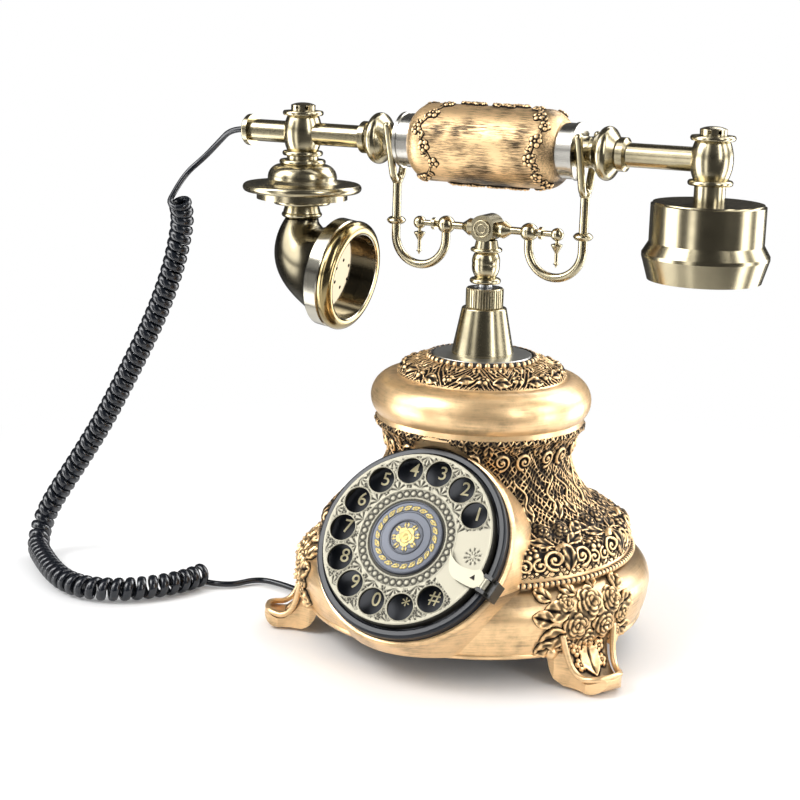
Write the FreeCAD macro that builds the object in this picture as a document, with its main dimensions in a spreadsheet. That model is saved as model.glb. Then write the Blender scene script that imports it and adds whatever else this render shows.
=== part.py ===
import FreeCAD, Part
import math
import os
import re

import Sketcher
from FreeCAD import Placement, Rotation, Vector

# A desk telephone with a turned brass column, a sprung cradle, a handset with a horn mouthpiece
# and a finger-wheel dial. +Z is up, the dial faces -Y and the handset lies along X.
# The origin is on the table, under the axis of the column. Millimetres and degrees throughout.

SIZES = {
    # clearances
    "fit_gap": 0.3, "slip_gap": 0.05, "seat_gap": 0.3, "wall": 5,
    # base casting
    "pad_thickness": 1.5, "pad_radius": 6, "apron_height": 15.8, "apron_radius": 81.6,
    "band_radius": 86, "band_height": 30, "bead_edge_radius": 76.5, "bead_edge_height": 46,
    "shoulder_radius": 72, "shoulder_height": 61, "waist_radius": 44.5, "crest_rise": 16.8,
    "step_radius": 48.5, "roll_lip": 5.2, "roll_foot_radius": 50.5, "roll_rise": 19,
    "dome_edge_radius": 43, "dome_rise": 8, "dome_top_radius": 25, "seat_height": 139,
    "foot_reach": 104, "foot_width": 36, "foot_heel": 85, "foot_root": 66, "foot_toe_height": 9,
    "foot_toe_width": 21, "foot_azimuth": 27,
    # blossoms and scrolls on the casting
    "rose_rise": 2.9, "rose_width": 6.5, "scroll_rise": 2.6, "scroll_width": 5.4, "scroll_spread": 5,
    "crest_spread": 8, "bud_rise": 2.5, "bud_width": 4.1, "bud_count": 28,
    # bottom plate, screws and what stands on it
    "plate_thickness": 2.5, "boss_radius": 7, "boss_height": 10, "boss_circle": 72.5, "boss_azimuth": 40,
    "screw_radius": 1.5, "screw_head_radius": 3, "screw_head_height": 1.8, "screw_length": 8,
    "board_length": 58, "board_depth": 36, "board_thickness": 1.6, "board_y": 34, "board_x": 11,
    "standoff_height": 4.5, "standoff_radius": 2.2, "chip_height": 3,
    "speaker_radius": 17, "speaker_height": 10, "speaker_x": 40, "speaker_y": 20,
    "jack_width": 13, "jack_height": 12, "jack_depth": 15, "jack_x": 34, "jack_face": 76.3, "jack_z": 27,
    "jack_mouth_width": 9.8, "jack_mouth_height": 7, "jack_mouth_depth": 11,
    # column
    "flange_radius": 24, "flange_thickness": 2.2, "cone_foot_radius": 15, "cone_top_radius": 10.9,
    "cone_height": 22.5, "collar_radius": 9.1, "collar_height": 9.5, "knurl_count": 40, "knurl_depth": 0.5,
    "tube_radius": 6.6, "tube_drop": 21, "counterbore_radius": 5.3, "spring_room": 21,
    "nut_radius": 10, "nut_height": 4.5, "bracket_thickness": 1.5, "bracket_width": 14, "bracket_reach": 13,
    "switch_width": 12, "switch_depth": 20, "switch_height": 10, "button_radius": 1.6, "button_height": 2.6,
    # cradle
    "cradle_travel": 5, "plunger_radius": 3.5, "plunger_drop": 43, "plunger_collar_height": 2.5,
    "clip_radius": 5.4, "clip_thickness": 1.5, "stem_rise": 2.2, "stem_ring_radius": 7.4,
    "stem_ring_height": 2.4, "stem_waist_radius": 5, "stem_belly_radius": 6.6, "stem_belly_share": 0.4515,
    "stem_length": 20.6, "stem_top_radius": 5.9, "hub_radius": 6.4, "hub_depth": 12, "hub_sink": 0.4,
    "arm_radius": 1.8, "socket_radius": 4.2, "socket_reach": 9, "ball_radius": 4.3, "ball_x": 21.7,
    "ring_radius": 2.9, "ring_x": 28, "ring_width": 1.6,
    "tip_radius": 3.1, "tip_x": 36, "tip_rod_radius": 1.4,
    "pendant_radius": 2.7, "pendant_length": 14, "pendant_bead_radius": 1.5, "pendant_pin_radius": 0.8,
    "hook_rod_radius": 2.1, "hook_x": 48.9, "hook_drop": 6.9, "hook_collar_radius": 4.7,
    "arm_drop": 0.3, "hook_collar_width": 3.4, "prong_radius": 1.85, "prong_length": 24,
    "fork_angle": 18, "fork_bend_radius": 5,
    "spring_wire": 0.9, "spring_turns": 6,
    # handset
    "handset_rise": 39.1, "core_radius": 5.5, "core_bore": 3.8,
    "grip_radius": 18.5, "grip_half_length": 37.5, "grip_round": 9, "grip_end_radius": 14,
    "ferrule_radius": 13.4, "ferrule_width": 8.2, "neck_radius": 7.25, "bead_radius": 12.3,
    "bead_x": 59, "bead_width": 11, "collar_x": 67, "neck_collar_radius": 7.8,
    "mouth_tee_x": 102.6, "ear_tee_x": 107.9, "tee_radius": 9.5, "tee_half_height": 8.8,
    "tee_ring_radius": 10.2, "tee_ring_height": 2.2, "nut_cap_radius": 6.1, "nut_cap_height": 4,
    "end_ring_radius": 7.8, "end_ring_width": 3, "cord_end_x": 134.5,
    "skirt_radius": 29.8, "skirt_drop": 27, "skirt_rim": 4, "bell_radius": 17.3, "bell_rise": 5.2,
    "skirt_neck_radius": 7.9, "skirt_step_radius": 22.8, "skirt_step_drop": 4.3,
    "skirt_neck_drop": 15.8, "elbow_top_radius": 8.5, "elbow_run": 0.78, "elbow_pivot": 3,
    "elbow_throat_radius": 20, "elbow_throat": 9, "elbow_end_radius": 24.5,
    "elbow_wall": 1.8, "horn_droop": 8, "rim_radius": 27.4, "rim_length": 14.5, "rim_mouth_radius": 21.5,
    "grille_depth": 8, "grille_thickness": 1.2, "grille_hole_radius": 0.9, "grille_hole_circle": 7,
    "microphone_radius": 12, "microphone_depth": 4,
    "ear_neck_radius": 7, "cup_radius": 25.8, "cup_drop": 18.8, "cup_length": 18,
    "cap_radius": 28.7, "cap_flare": 6.5, "cap_taper": 10.5, "cap_foot_radius": 25.6, "cap_wall": 2.4,
    "cap_hole_radius": 1.3, "cap_hole_circle": 9, "receiver_radius": 18, "receiver_height": 8,
    # dial
    "dial_reach": 75.5, "dial_height": 67.7, "dial_tilt": 36, "lip_drop": 8, "housing_radius": 48.4,
    "housing_back_radius": 54, "housing_depth": 62, "ledge_bore": 40, "ledge_drop": 11,
    "bezel_radius": 46.5, "bezel_bore": 42.8, "bezel_height": 4, "dish_thickness": 2, "dish_bore": 10,
    "frame_thickness": 1.8, "bush_radius": 6, "bush_length": 2.4,
    "wheel_radius": 42, "wheel_thickness": 1.8, "wheel_skirt": 4.6, "wheel_skirt_wall": 1.4,
    "wheel_hub_radius": 8,
    "hole_radius": 6.6, "hole_circle": 33.2, "hole_first": 28.7, "hole_pitch": 25.4, "hole_count": 12,
    "badge_radius": 17.6, "badge_height": 1.4, "badge_recess": 0.8, "shaft_radius": 3, "shaft_length": 22,
    "gear_module": 0.6, "gear_teeth": 54, "pinion_teeth": 12, "gear_drop": 17.5, "gear_width": 3,
    "governor_angle": 140, "governor_radius": 7.5, "governor_length": 6, "governor_pin_radius": 1.5,
    "coil_drop": 13.6, "coil_width": 2, "coil_strip": 0.8, "coil_inner_radius": 7, "coil_turns": 4,
    "coil_pitch": 1.5,
    "dial_screw_circle": 43.3, "dial_screw_radius": 1.2, "dial_screw_length": 5,
    "stop_angle": -19, "stop_width": 8.6, "stop_inner": 43.5, "stop_outer": 51.5, "stop_ear": 1.6,
    "stop_top": 0.2, "ear_height": 3.2, "key_lift": 1.5, "key_thickness": 1.2, "key_tang_width": 4.8,
    "pin_radius": 0.7, "pin_reach": 47,
    # handset cord
    "cord_diameter": 3.4, "curl_radius": 4.65, "curl_count": 66.81, "inlet_x": 62, "inlet_y": 6.5,
    "grommet_neck_radius": 3.4, "grommet_collar_radius": 4.8, "grommet_collar": 1.2, "grommet_rise": 3,
}

HEIGHTS = {
    "dome_edge_height": "seat_height - dome_rise",
    "roll_foot_height": "dome_edge_height - roll_rise",
    "step_height": "roll_foot_height - roll_lip",
    "waist_height": "step_height - crest_rise",
    "tube_foot_height": "seat_height - tube_drop",
    "plunger_foot_height": "seat_height - plunger_drop",
    "stem_foot_height": "seat_height + flange_thickness + cone_height + collar_height + stem_rise",
    "stem_belly_height": "stem_foot_height + stem_length * stem_belly_share",
    "stem_top_height": "stem_foot_height + stem_length",
    "hub_height": "stem_top_height + hub_radius - hub_sink",
    "arm_height": "hub_height - arm_drop",
    "hook_bend_height": "arm_height - hook_drop",
    "handset_height": "arm_height + handset_rise",
    "skirt_height": "handset_height - skirt_drop",
    "bell_height": "skirt_height + bell_rise",
    "skirt_step_height": "skirt_height - skirt_step_drop",
    "elbow_top_height": "skirt_height - skirt_neck_drop",
    "cup_top_height": "handset_height - cup_drop",
    "cup_foot_height": "cup_top_height - cup_length",
    "cap_belly_height": "cup_foot_height - cap_flare",
    "cap_foot_height": "cap_belly_height - cap_taper",
}

X_AXIS = Vector(1, 0, 0)
Z_AXIS = Vector(0, 0, 1)
SIZE_WORD = re.compile(r"[a-z][a-z_0-9]*")

doc = FreeCAD.newDocument("rotary_telephone")
sheet = doc.addObject("Spreadsheet::Sheet", "Sizes")
for row, (name, number) in enumerate(SIZES.items(), 1):
    sheet.set(f"A{row}", str(number))
    sheet.setAlias(f"A{row}", name)
for row, (name, formula) in enumerate(HEIGHTS.items(), len(SIZES) + 1):
    sheet.set(f"A{row}", "=" + formula)
    sheet.setAlias(f"A{row}", name)
doc.recompute()
NAMES = SIZES.keys() | HEIGHTS.keys()

nodes = []


def cells(text):
    """Point each size named in an expression at its cell."""
    def cell(word):
        return "Sizes." + word.group() if word.group() in NAMES else word.group()
    return SIZE_WORD.sub(cell, text)


def number_of(text):
    return float(sheet.evalExpression(cells(text)))


def node(obj, label):
    """Mark a finished object as a separate piece of the telephone."""
    obj.Label = label
    nodes.append(obj)
    return obj


def place(obj, x=None, y=None, z=None, turn=None, axis=Z_AXIS):
    """Bind an object's position, and its turn about one axis, to the sheet."""
    if turn:
        obj.Placement = Placement(Vector(), Rotation(axis, number_of(turn)))
        obj.setExpression("Placement.Rotation.Angle", cells(turn))
    for key, text in (("x", x), ("y", y), ("z", z)):
        if text:
            obj.setExpression("Placement.Base." + key, cells(text))
    return obj


def on_dial(obj):
    """Stand a piece, modelled upright, on the dial's tilted axis with z = 0 at the wheel's face."""
    return place(obj, y="-dial_reach", z="dial_height", turn="90 - dial_tilt", axis=X_AXIS)


def new_body(name):
    return doc.addObject("PartDesign::Body", name)


def sketch_on(body, role, lift=None, turn=None):
    sketch = body.newObject("Sketcher::SketchObject", body.Name + "_sketch")
    plane = next(item for item in body.Origin.OriginFeatures if item.Role == role)
    sketch.AttachmentSupport = (plane, [""])
    sketch.MapMode = "FlatFace"
    if turn:
        sketch.AttachmentOffset = Placement(Vector(), Rotation(Z_AXIS, number_of(turn)))
        sketch.setExpression("AttachmentOffset.Rotation.Angle", cells(turn))
    if lift:
        sketch.setExpression("AttachmentOffset.Base.z", cells(lift))
    return sketch


def fix(sketch, kind, *where, size):
    """Add a dimension to a sketch and bind it to the sheet."""
    index = sketch.addConstraint(Sketcher.Constraint(kind, *where, number_of(size)))
    sketch.setExpression(f"Constraints[{index}]", cells(size))


def pin_point(sketch, edge, end, across, up):
    """Hold a point of an edge at a place measured from the sketch's origin."""
    for kind, size, axis in (("DistanceX", across, -2), ("DistanceY", up, -1)):
        if size == "0":
            sketch.addConstraint(Sketcher.Constraint("PointOnObject", edge, end, axis))
        else:
            fix(sketch, kind, -1, 1, edge, end, size=size)


def bowed_edge(start, end, bow):
    """An arc whose rise is bow times its chord, to the left of the way from start to end."""
    chord = end - start
    left = Vector(-chord.y, chord.x, 0)
    reach = (1 - 4 * bow * bow) / (8 * bow)
    centre = (start + end) * 0.5 - left * reach
    first, last = (end, start) if bow > 0 else (start, end)
    angles = [math.atan2(p.y - centre.y, p.x - centre.x) for p in (first, last)]
    if angles[1] <= angles[0]:
        angles[1] += 2 * math.pi
    return Part.ArcOfCircle(Part.Circle(centre, Z_AXIS, (start - centre).Length), *angles)


def outline(sketch, corners):
    """Draw a closed outline. A third value bows the edge that arrives at that corner."""
    points = [Vector(number_of(c[0]), number_of(c[1]), 0) for c in corners]
    edges = []
    for i, corner in enumerate(corners):
        start, end = points[i - 1], points[i]
        if len(corner) == 3:
            edges.append((sketch.addGeometry(bowed_edge(start, end, corner[2])), corner[2] > 0))
        else:
            edges.append((sketch.addGeometry(Part.LineSegment(start, end)), False))
    for i, corner in enumerate(corners):
        edge, backwards = edges[i]
        following, next_backwards = edges[(i + 1) % len(edges)]
        end, next_start = 1 if backwards else 2, 2 if next_backwards else 1
        sketch.addConstraint(Sketcher.Constraint("Coincident", edge, end, following, next_start))
        pin_point(sketch, edge, end, corner[0], corner[1])
    for i, corner in enumerate(corners):
        if len(corner) == 3:
            before = corners[i - 1]
            chord = f"sqrt((({corner[0]}) - ({before[0]}))^2 + (({corner[1]}) - ({before[1]}))^2)"
            bow = abs(corner[2])
            fix(sketch, "Radius", edges[i][0], size=f"{chord} * {1 / (8 * bow) + bow / 2:.9f}")
    return sketch


def circle(sketch, across, up, radius):
    ring = Part.Circle(Vector(number_of(across), number_of(up), 0), Z_AXIS, number_of(radius))
    edge = sketch.addGeometry(ring)
    pin_point(sketch, edge, 3, across, up)
    fix(sketch, "Radius", edge, size=radius)
    return sketch


def turned(name, corners, along="V_Axis"):
    """A piece turned on a lathe: an outline in the XZ plane spun about Z, or about X."""
    body = new_body(name)
    sketch = outline(sketch_on(body, "XZ_Plane"), corners)
    spin = body.newObject("PartDesign::Revolution", name + "_turning")
    spin.Profile = sketch
    spin.ReferenceAxis = (sketch, [along])
    spin.Angle = 360
    body.Tip = spin
    return body


def turned_along_x(name, corners):
    return turned(name, corners, "H_Axis")


def padded(name, role, corners, thickness, lift=None, turn=None, middle=False):
    """A flat piece: an outline given a thickness."""
    body = new_body(name)
    sketch = outline(sketch_on(body, role, lift, turn), corners)
    pad = body.newObject("PartDesign::Pad", name + "_pad")
    pad.Profile = sketch
    pad.setExpression("Length", cells(thickness))
    pad.Midplane = middle
    body.Tip = pad
    return body


def drill_pattern(body, across, up, radius, lift, depth, count, pitch, turn=None):
    """Cut a round hole downwards from a height and repeat it about the body's Z axis."""
    doc.recompute()
    before = body.Shape.Volume
    sketch = circle(sketch_on(body, "XY_Plane", lift, turn), across, up, radius)
    pocket = body.newObject("PartDesign::Pocket", body.Name + "_hole")
    pocket.Profile = sketch
    pocket.setExpression("Length", cells(depth))
    repeat = body.newObject("PartDesign::PolarPattern", body.Name + "_holes")
    repeat.Originals = [pocket]
    repeat.Axis = (sketch, ["N_Axis"])
    repeat.Mode = "Spacing" if pitch else "Extent"
    if pitch:
        repeat.setExpression("Offset", cells(pitch))
    else:
        repeat.Angle = 360
    repeat.setExpression("Occurrences", cells(count))
    body.Tip = repeat
    doc.recompute()
    if body.Shape.Volume >= before:
        raise RuntimeError("the holes miss " + body.Name)
    return body


def cylinder(radius, height, x="0", y="0", z="0"):
    post = doc.addObject("Part::Cylinder", "post")
    post.setExpression("Radius", cells(radius))
    post.setExpression("Height", cells(height))
    return place(post, x, y, z)


def cross_cylinder(radius, height, x="0", y="0", z="0", turn="90", axis=Vector(0, 1, 0)):
    """A cylinder laid over: along +X unless another turn is given."""
    rod = cylinder(radius, height)
    return place(rod, x, y, z, turn, axis)


def ball(radius, x="0", y="0", z="0"):
    sphere = doc.addObject("Part::Sphere", "ball")
    sphere.setExpression("Radius", cells(radius))
    return place(sphere, x, y, z)


def block(length, width, height, x, y, z):
    box = doc.addObject("Part::Box", "block")
    for key, text in (("Length", length), ("Width", width), ("Height", height)):
        box.setExpression(key, cells(text))
    return place(box, x, y, z)


def fused(name, pieces):
    fuse = doc.addObject("Part::MultiFuse", name)
    fuse.Shapes = pieces
    fuse.Refine = True
    return fuse


def cut(name, base, tool):
    difference = doc.addObject("Part::Cut", name)
    difference.Base = base
    difference.Tool = tool
    difference.Refine = True
    return difference


def group(name, pieces):
    """Like pieces that stay separate solids in one node."""
    bundle = doc.addObject("Part::Compound", name)
    bundle.Links = pieces
    return bundle


def bent_rod(name, role, bend_radius, rod_radius, angle):
    """A rod bent about the plane's first axis, centred on the lowest point of the bend."""
    body = new_body(name)
    sketch = circle(sketch_on(body, role), "0", f"-({bend_radius})", rod_radius)
    spin = body.newObject("PartDesign::Revolution", name + "_bend")
    spin.Profile = sketch
    spin.ReferenceAxis = (sketch, ["H_Axis"])
    spin.Midplane = True
    spin.setExpression("Angle", cells(angle))
    body.Tip = spin
    return body


# Base casting

BORE_RADIUS = "bezel_radius + fit_gap"
PLATE_TOP = "apron_height + plate_thickness"
DOME_UNDERSIDE = "seat_height - wall"
DIAL_SCREW_HOLE = "dial_screw_radius + slip_gap"
BOSS_TURNS = ("boss_azimuth", "180 - boss_azimuth", "180 + boss_azimuth", "-boss_azimuth")


def around(radius, azimuth):
    """Expressions for a point on a circle about the column."""
    return f"({radius}) * cos({azimuth})", f"({radius}) * sin({azimuth})"


def foot(name, turn):
    """A scrolled foot that grows out of the band, narrows and ends in a turned-up round toe."""
    side = padded(name + "_side", "XZ_Plane", [
        ("foot_root", "apron_height"),
        ("foot_root", "band_height"),
        ("band_radius - 1", "band_height - 6"),
        ("foot_reach - 10", "foot_toe_height - 3", -0.16),
        ("foot_reach - 0.5", "foot_toe_height", -0.12),
        ("foot_reach - 6", "pad_thickness", 0.3),
        ("foot_heel", "pad_thickness"),
        ("foot_heel - 8", "apron_height", 0.15),
    ], "2 * foot_width", middle=True)
    toe = "foot_reach - foot_toe_width / 3"
    plan = padded(name + "_plan", "XY_Plane", [
        ("foot_root", "-foot_width / 2"),
        ("foot_heel - 4", "-foot_width * 0.44"),
        (toe, "-foot_toe_width / 2", 0.12),
        (toe, "foot_toe_width / 2", -0.36),
        ("foot_heel - 4", "foot_width * 0.44", 0.12),
        ("foot_root", "foot_width / 2"),
    ], "band_height")
    shared = doc.addObject("Part::MultiCommon", name)
    shared.Shapes = [side, plan]
    return place(shared, turn=turn)


def mound(rise, width, ring, height, turn, tilt):
    """A round swelling of the skin: an ellipsoid sunk in it, with its short axis along the skin's normal."""
    swelling = doc.addObject("Part::Ellipsoid", "mound")
    for key, text in (("Radius1", rise), ("Radius2", width), ("Radius3", width)):
        swelling.setExpression(key, cells(text))
    azimuth = math.radians(number_of(turn))
    level = Vector(-math.sin(azimuth), math.cos(azimuth), 0)
    return place(swelling, *around(ring, turn), height, f"90 - {tilt}", level)


def ornament():
    """Blossoms and scrolls in rings on the waist and the dome, with none behind the dial."""
    waist_turns = [turn for turn in range(0, 360, 30) if abs(turn - 270) > 45]
    rose, scroll, bud = [(f"{form}_rise", f"{form}_width") for form in ("rose", "scroll", "bud")]
    rose_ring = ("shoulder_radius - 0.3", "shoulder_height - 2.6")
    scroll_ring = ("shoulder_radius - 12.2", "shoulder_height + 4.4")
    crest_ring = ("waist_radius - 1.5", "waist_height + 9.2")
    bud_ring = ("dome_edge_radius - 6.7", "dome_edge_height + 2.1")
    mounds = []
    for turn in waist_turns:
        mounds.append(mound(*rose, *rose_ring, f"{turn}", "27"))
        for way in "+-":
            mounds.append(mound(*scroll, *scroll_ring, f"{turn} {way} scroll_spread", "55"))
            mounds.append(mound(*scroll, *crest_ring, f"{turn} {way} crest_spread", "(-13)"))
    for k in range(int(number_of("bud_count"))):
        mounds.append(mound(*bud, *bud_ring, f"360 / bud_count * {k}", "56"))
    return mounds


def base_casting():
    skin = turned("casting_skin", [
        ("0", "apron_height"),
        ("apron_radius", "apron_height"),
        ("band_radius", "band_height", -0.062),
        ("bead_edge_radius", "bead_edge_height", -0.2),
        ("shoulder_radius", "shoulder_height", -0.08),
        ("waist_radius", "waist_height", 0.13),
        ("step_radius", "step_height", 0.12),
        ("roll_foot_radius", "step_height + 1"),
        ("roll_foot_radius", "roll_foot_height"),
        ("dome_edge_radius", "dome_edge_height", -0.32),
        ("dome_edge_radius - 1.5", "dome_edge_height"),
        ("dome_top_radius", "seat_height", -0.08),
        ("0", "seat_height"),
    ])
    hollow = turned("casting_hollow", [
        ("0", "apron_height - 1"),
        ("apron_radius - wall", "apron_height - 1"),
        ("apron_radius - wall", "apron_height"),
        ("band_radius - wall", "band_height", -0.062),
        ("bead_edge_radius - wall", "bead_edge_height", -0.16),
        ("shoulder_radius - wall", "shoulder_height - wall / 2", -0.04),
        ("waist_radius - wall", "waist_height", 0.13),
        ("waist_radius - wall", "dome_edge_height - wall"),
        ("dome_top_radius", DOME_UNDERSIDE),
        ("0", DOME_UNDERSIDE),
    ])
    housing = on_dial(turned("dial_housing", [
        ("0", "-housing_depth"),
        ("housing_back_radius", "-housing_depth"),
        ("housing_radius", "-lip_drop - 4", -0.01),
        ("housing_radius - 0.6", "-lip_drop", -0.2),
        ("0", "-lip_drop"),
    ]))
    below = block("4 * band_radius", "4 * band_radius", "2 * band_radius",
                  "-2 * band_radius", "-2 * band_radius", "apron_height - 2 * band_radius")
    bore = on_dial(turned("dial_bore", [
        ("0", "-housing_depth - 1"),
        ("ledge_bore", "-housing_depth - 1"),
        ("ledge_bore", "-ledge_drop"),
        (BORE_RADIUS, "-ledge_drop"),
        (BORE_RADIUS, "0"),
        ("0", "0"),
    ]))
    feet = [foot("right_foot", "-foot_azimuth"), foot("left_foot", "180 + foot_azimuth"),
            foot("rear_foot", "90")]
    outside = fused("casting_outside", [skin, cut("housing_trimmed", housing, below)] + feet + ornament())
    shell = cut("casting_shell", outside, fused("casting_inside", [hollow, bore]))
    boss_places = [around("boss_circle", turn) for turn in BOSS_TURNS]
    bosses = [cylinder("boss_radius", "boss_height", x, y, PLATE_TOP) for x, y in boss_places]
    screw_holes = [cylinder("screw_radius + slip_gap", "screw_length", x, y, "apron_height")
                   for x, y in boss_places]
    column_hole = cylinder("tube_radius + fit_gap", "wall + 2", z=DOME_UNDERSIDE + " - 1")
    jack_hole = block("jack_width + 2 * fit_gap", "jack_depth + 4 * wall", "jack_height + 2 * fit_gap",
                      "jack_x - jack_width / 2 - fit_gap", "jack_face - jack_depth",
                      "jack_z - jack_height / 2 - fit_gap")
    ledge_holes = dial_screw_ring("ledge_holes", DIAL_SCREW_HOLE, "-ledge_drop", "dial_screw_length")
    tools = fused("casting_holes", screw_holes + [column_hole, jack_hole, ledge_holes])
    return cut("base_casting", fused("casting_with_bosses", [shell] + bosses), tools)


def dial_screw_ring(name, radius, lift, depth):
    """Four rods on the dial's screw circle, as one body that reaches back from a height."""
    body = new_body(name)
    sketch = sketch_on(body, "XY_Plane", lift)
    for turn in ("45", "135", "225", "315"):
        circle(sketch, *around("dial_screw_circle", turn), radius)
    pad = body.newObject("PartDesign::Pad", name + "_pad")
    pad.AllowMultiFace = True
    pad.Profile = sketch
    pad.Reversed = True
    pad.setExpression("Length", cells(depth))
    body.Tip = pad
    return on_dial(body)


def foot_pads():
    turns = ("-foot_azimuth", "180 + foot_azimuth", "90")
    spot = "(foot_heel + foot_reach - 5) / 2"
    pads = [cylinder("pad_radius", "pad_thickness", *around(spot, turn)) for turn in turns]
    return group("foot_pads", pads)


def bottom_plate():
    disc = turned("plate_disc", [
        ("0", "apron_height"),
        ("apron_radius - wall - fit_gap", "apron_height"),
        ("apron_radius - wall - fit_gap", PLATE_TOP),
        ("0", PLATE_TOP),
    ])
    corners = [(f"-board_x {a} (board_length / 2 - 4)", f"board_y {b} (board_depth / 2 - 4)")
               for a in "+-" for b in "+-"]
    posts = [cylinder("standoff_radius", "standoff_height + 1", x, y, PLATE_TOP + " - 1")
             for x, y in corners]
    through, under = "plate_thickness + 2", "apron_height - 1"
    holes = [cylinder("screw_radius + slip_gap", through, *around("boss_circle", turn), under)
             for turn in BOSS_TURNS]
    holes.append(cylinder("grommet_neck_radius + slip_gap", through, "-inlet_x", "-inlet_y", under))
    return cut("bottom_plate", fused("plate_with_posts", [disc] + posts), fused("plate_holes", holes))


def bottom_screws():
    screws = []
    for turn in BOSS_TURNS:
        x, y = around("boss_circle", turn)
        head = cylinder("screw_head_radius", "screw_head_height", x, y, "apron_height - screw_head_height")
        shank = cylinder("screw_radius", "screw_length - 1", x, y, "apron_height")
        screws.append(fused("bottom_screw", [head, shank]))
    return group("bottom_screws", screws)


def circuit_board():
    low = "-board_x - board_length / 2"
    near = "board_y - board_depth / 2"
    board_foot = PLATE_TOP + " + standoff_height"
    board = block("board_length", "board_depth", "board_thickness", low, near, board_foot)
    chip_foot = board_foot + " + board_thickness - 1"
    chips = [block("board_length * 0.28", "board_depth * 0.25", "chip_height + 1",
                   low + f" + board_length * {across}", near + f" + board_depth * {deep}", chip_foot)
             for across, deep in ((0.12, 0.3), (0.55, 0.55))]
    return fused("circuit_board", [board] + chips)


def ringer_speaker():
    return place(turned("ringer_speaker", [
        ("0", "0"),
        ("speaker_radius * 0.55", "0"),
        ("speaker_radius * 0.55", "speaker_height * 0.5"),
        ("speaker_radius", "speaker_height * 0.75"),
        ("speaker_radius", "speaker_height"),
        ("speaker_radius * 0.85", "speaker_height"),
        ("speaker_radius * 0.3", "speaker_height * 0.7"),
        ("0", "speaker_height * 0.8"),
    ]), "speaker_x", "speaker_y", PLATE_TOP)


def line_jack():
    shell = block("jack_width", "jack_depth", "jack_height",
                  "jack_x - jack_width / 2", "jack_face - jack_depth", "jack_z - jack_height / 2")
    mouth = block("jack_mouth_width", "jack_mouth_depth + 1", "jack_mouth_height",
                  "jack_x - jack_mouth_width / 2", "jack_face - jack_mouth_depth",
                  "jack_z - jack_mouth_height / 2")
    return cut("line_jack", shell, mouth)


def cord_grommet():
    """A bush through the bottom plate with a collar below it that the cord goes up into."""
    under = "apron_height - grommet_collar"
    over = PLATE_TOP + " + grommet_rise"
    return place(turned("cord_grommet", [
        ("0", under),
        ("grommet_collar_radius - 0.4", under),
        ("grommet_collar_radius", "apron_height"),
        ("grommet_neck_radius", "apron_height"),
        ("grommet_neck_radius", PLATE_TOP),
        ("grommet_neck_radius - 0.6", over),
        ("0", over),
    ]), "-inlet_x", "-inlet_y")


# Column

FLANGE_TOP = "seat_height + flange_thickness"
CONE_TOP = FLANGE_TOP + " + cone_height"
COLLAR_TOP = CONE_TOP + " + collar_height"
TUBE_BORE = "plunger_radius + slip_gap"
COLUMN_BORE = "tube_radius + slip_gap"
SPRING_SEAT = COLLAR_TOP + " - spring_room"
PLUNGER_COLLAR = COLLAR_TOP + " - plunger_collar_height - 0.5"
NUT_TOP = DOME_UNDERSIDE + " - bracket_thickness"


def sleeve(name, foot_height, top_height, radius, bore, top_radius=None):
    """A plain or tapered ring about the column."""
    return turned(name, [(bore, foot_height), (radius, foot_height), (top_radius or radius, top_height),
                         (bore, top_height)])


def column_flange():
    return turned("column_flange", [
        (COLUMN_BORE, "seat_height"),
        ("flange_radius", "seat_height"),
        ("flange_radius", FLANGE_TOP + " - 0.8"),
        ("flange_radius - 0.8", FLANGE_TOP, -0.2),
        (COLUMN_BORE, FLANGE_TOP),
    ])


def column_cone():
    return turned("column_cone", [
        (COLUMN_BORE, FLANGE_TOP),
        ("cone_foot_radius", FLANGE_TOP),
        ("cone_foot_radius", FLANGE_TOP + " + 1"),
        ("cone_top_radius", CONE_TOP + " - 0.8"),
        ("cone_top_radius - 0.8", CONE_TOP, -0.2),
        (COLUMN_BORE, CONE_TOP),
    ])


def knurled_collar():
    body = turned("knurled_collar", [
        (COLUMN_BORE, CONE_TOP),
        ("collar_radius - 0.6", CONE_TOP),
        ("collar_radius", CONE_TOP + " + 0.6"),
        ("collar_radius", COLLAR_TOP + " - 0.6"),
        ("collar_radius - 0.6", COLLAR_TOP),
        (COLUMN_BORE, COLLAR_TOP),
    ])
    return drill_pattern(body, "collar_radius", "0", "knurl_depth", COLLAR_TOP, "collar_height",
                         "knurl_count", None)


def guide_tube():
    return turned("guide_tube", [
        (TUBE_BORE, "tube_foot_height"),
        ("tube_radius", "tube_foot_height"),
        ("tube_radius", COLLAR_TOP),
        ("counterbore_radius", COLLAR_TOP),
        ("counterbore_radius", SPRING_SEAT),
        (TUBE_BORE, SPRING_SEAT),
    ])


def column_nut():
    """A hexagon nut under the dome, with the bracket clamped above it."""
    sides = [(f"nut_radius * cos({60 * k})", f"nut_radius * sin({60 * k})") for k in range(6)]
    nut_foot = NUT_TOP + " - nut_height"
    hexagon = padded("nut_hexagon", "XY_Plane", sides, "nut_height", lift=nut_foot)
    return cut("column_nut", hexagon, cylinder(COLUMN_BORE, "nut_height + 2", z=nut_foot + " - 1"))


SWITCH_TOP = "plunger_foot_height - button_height"
SWITCH_FOOT = SWITCH_TOP + " - switch_height"


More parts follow.
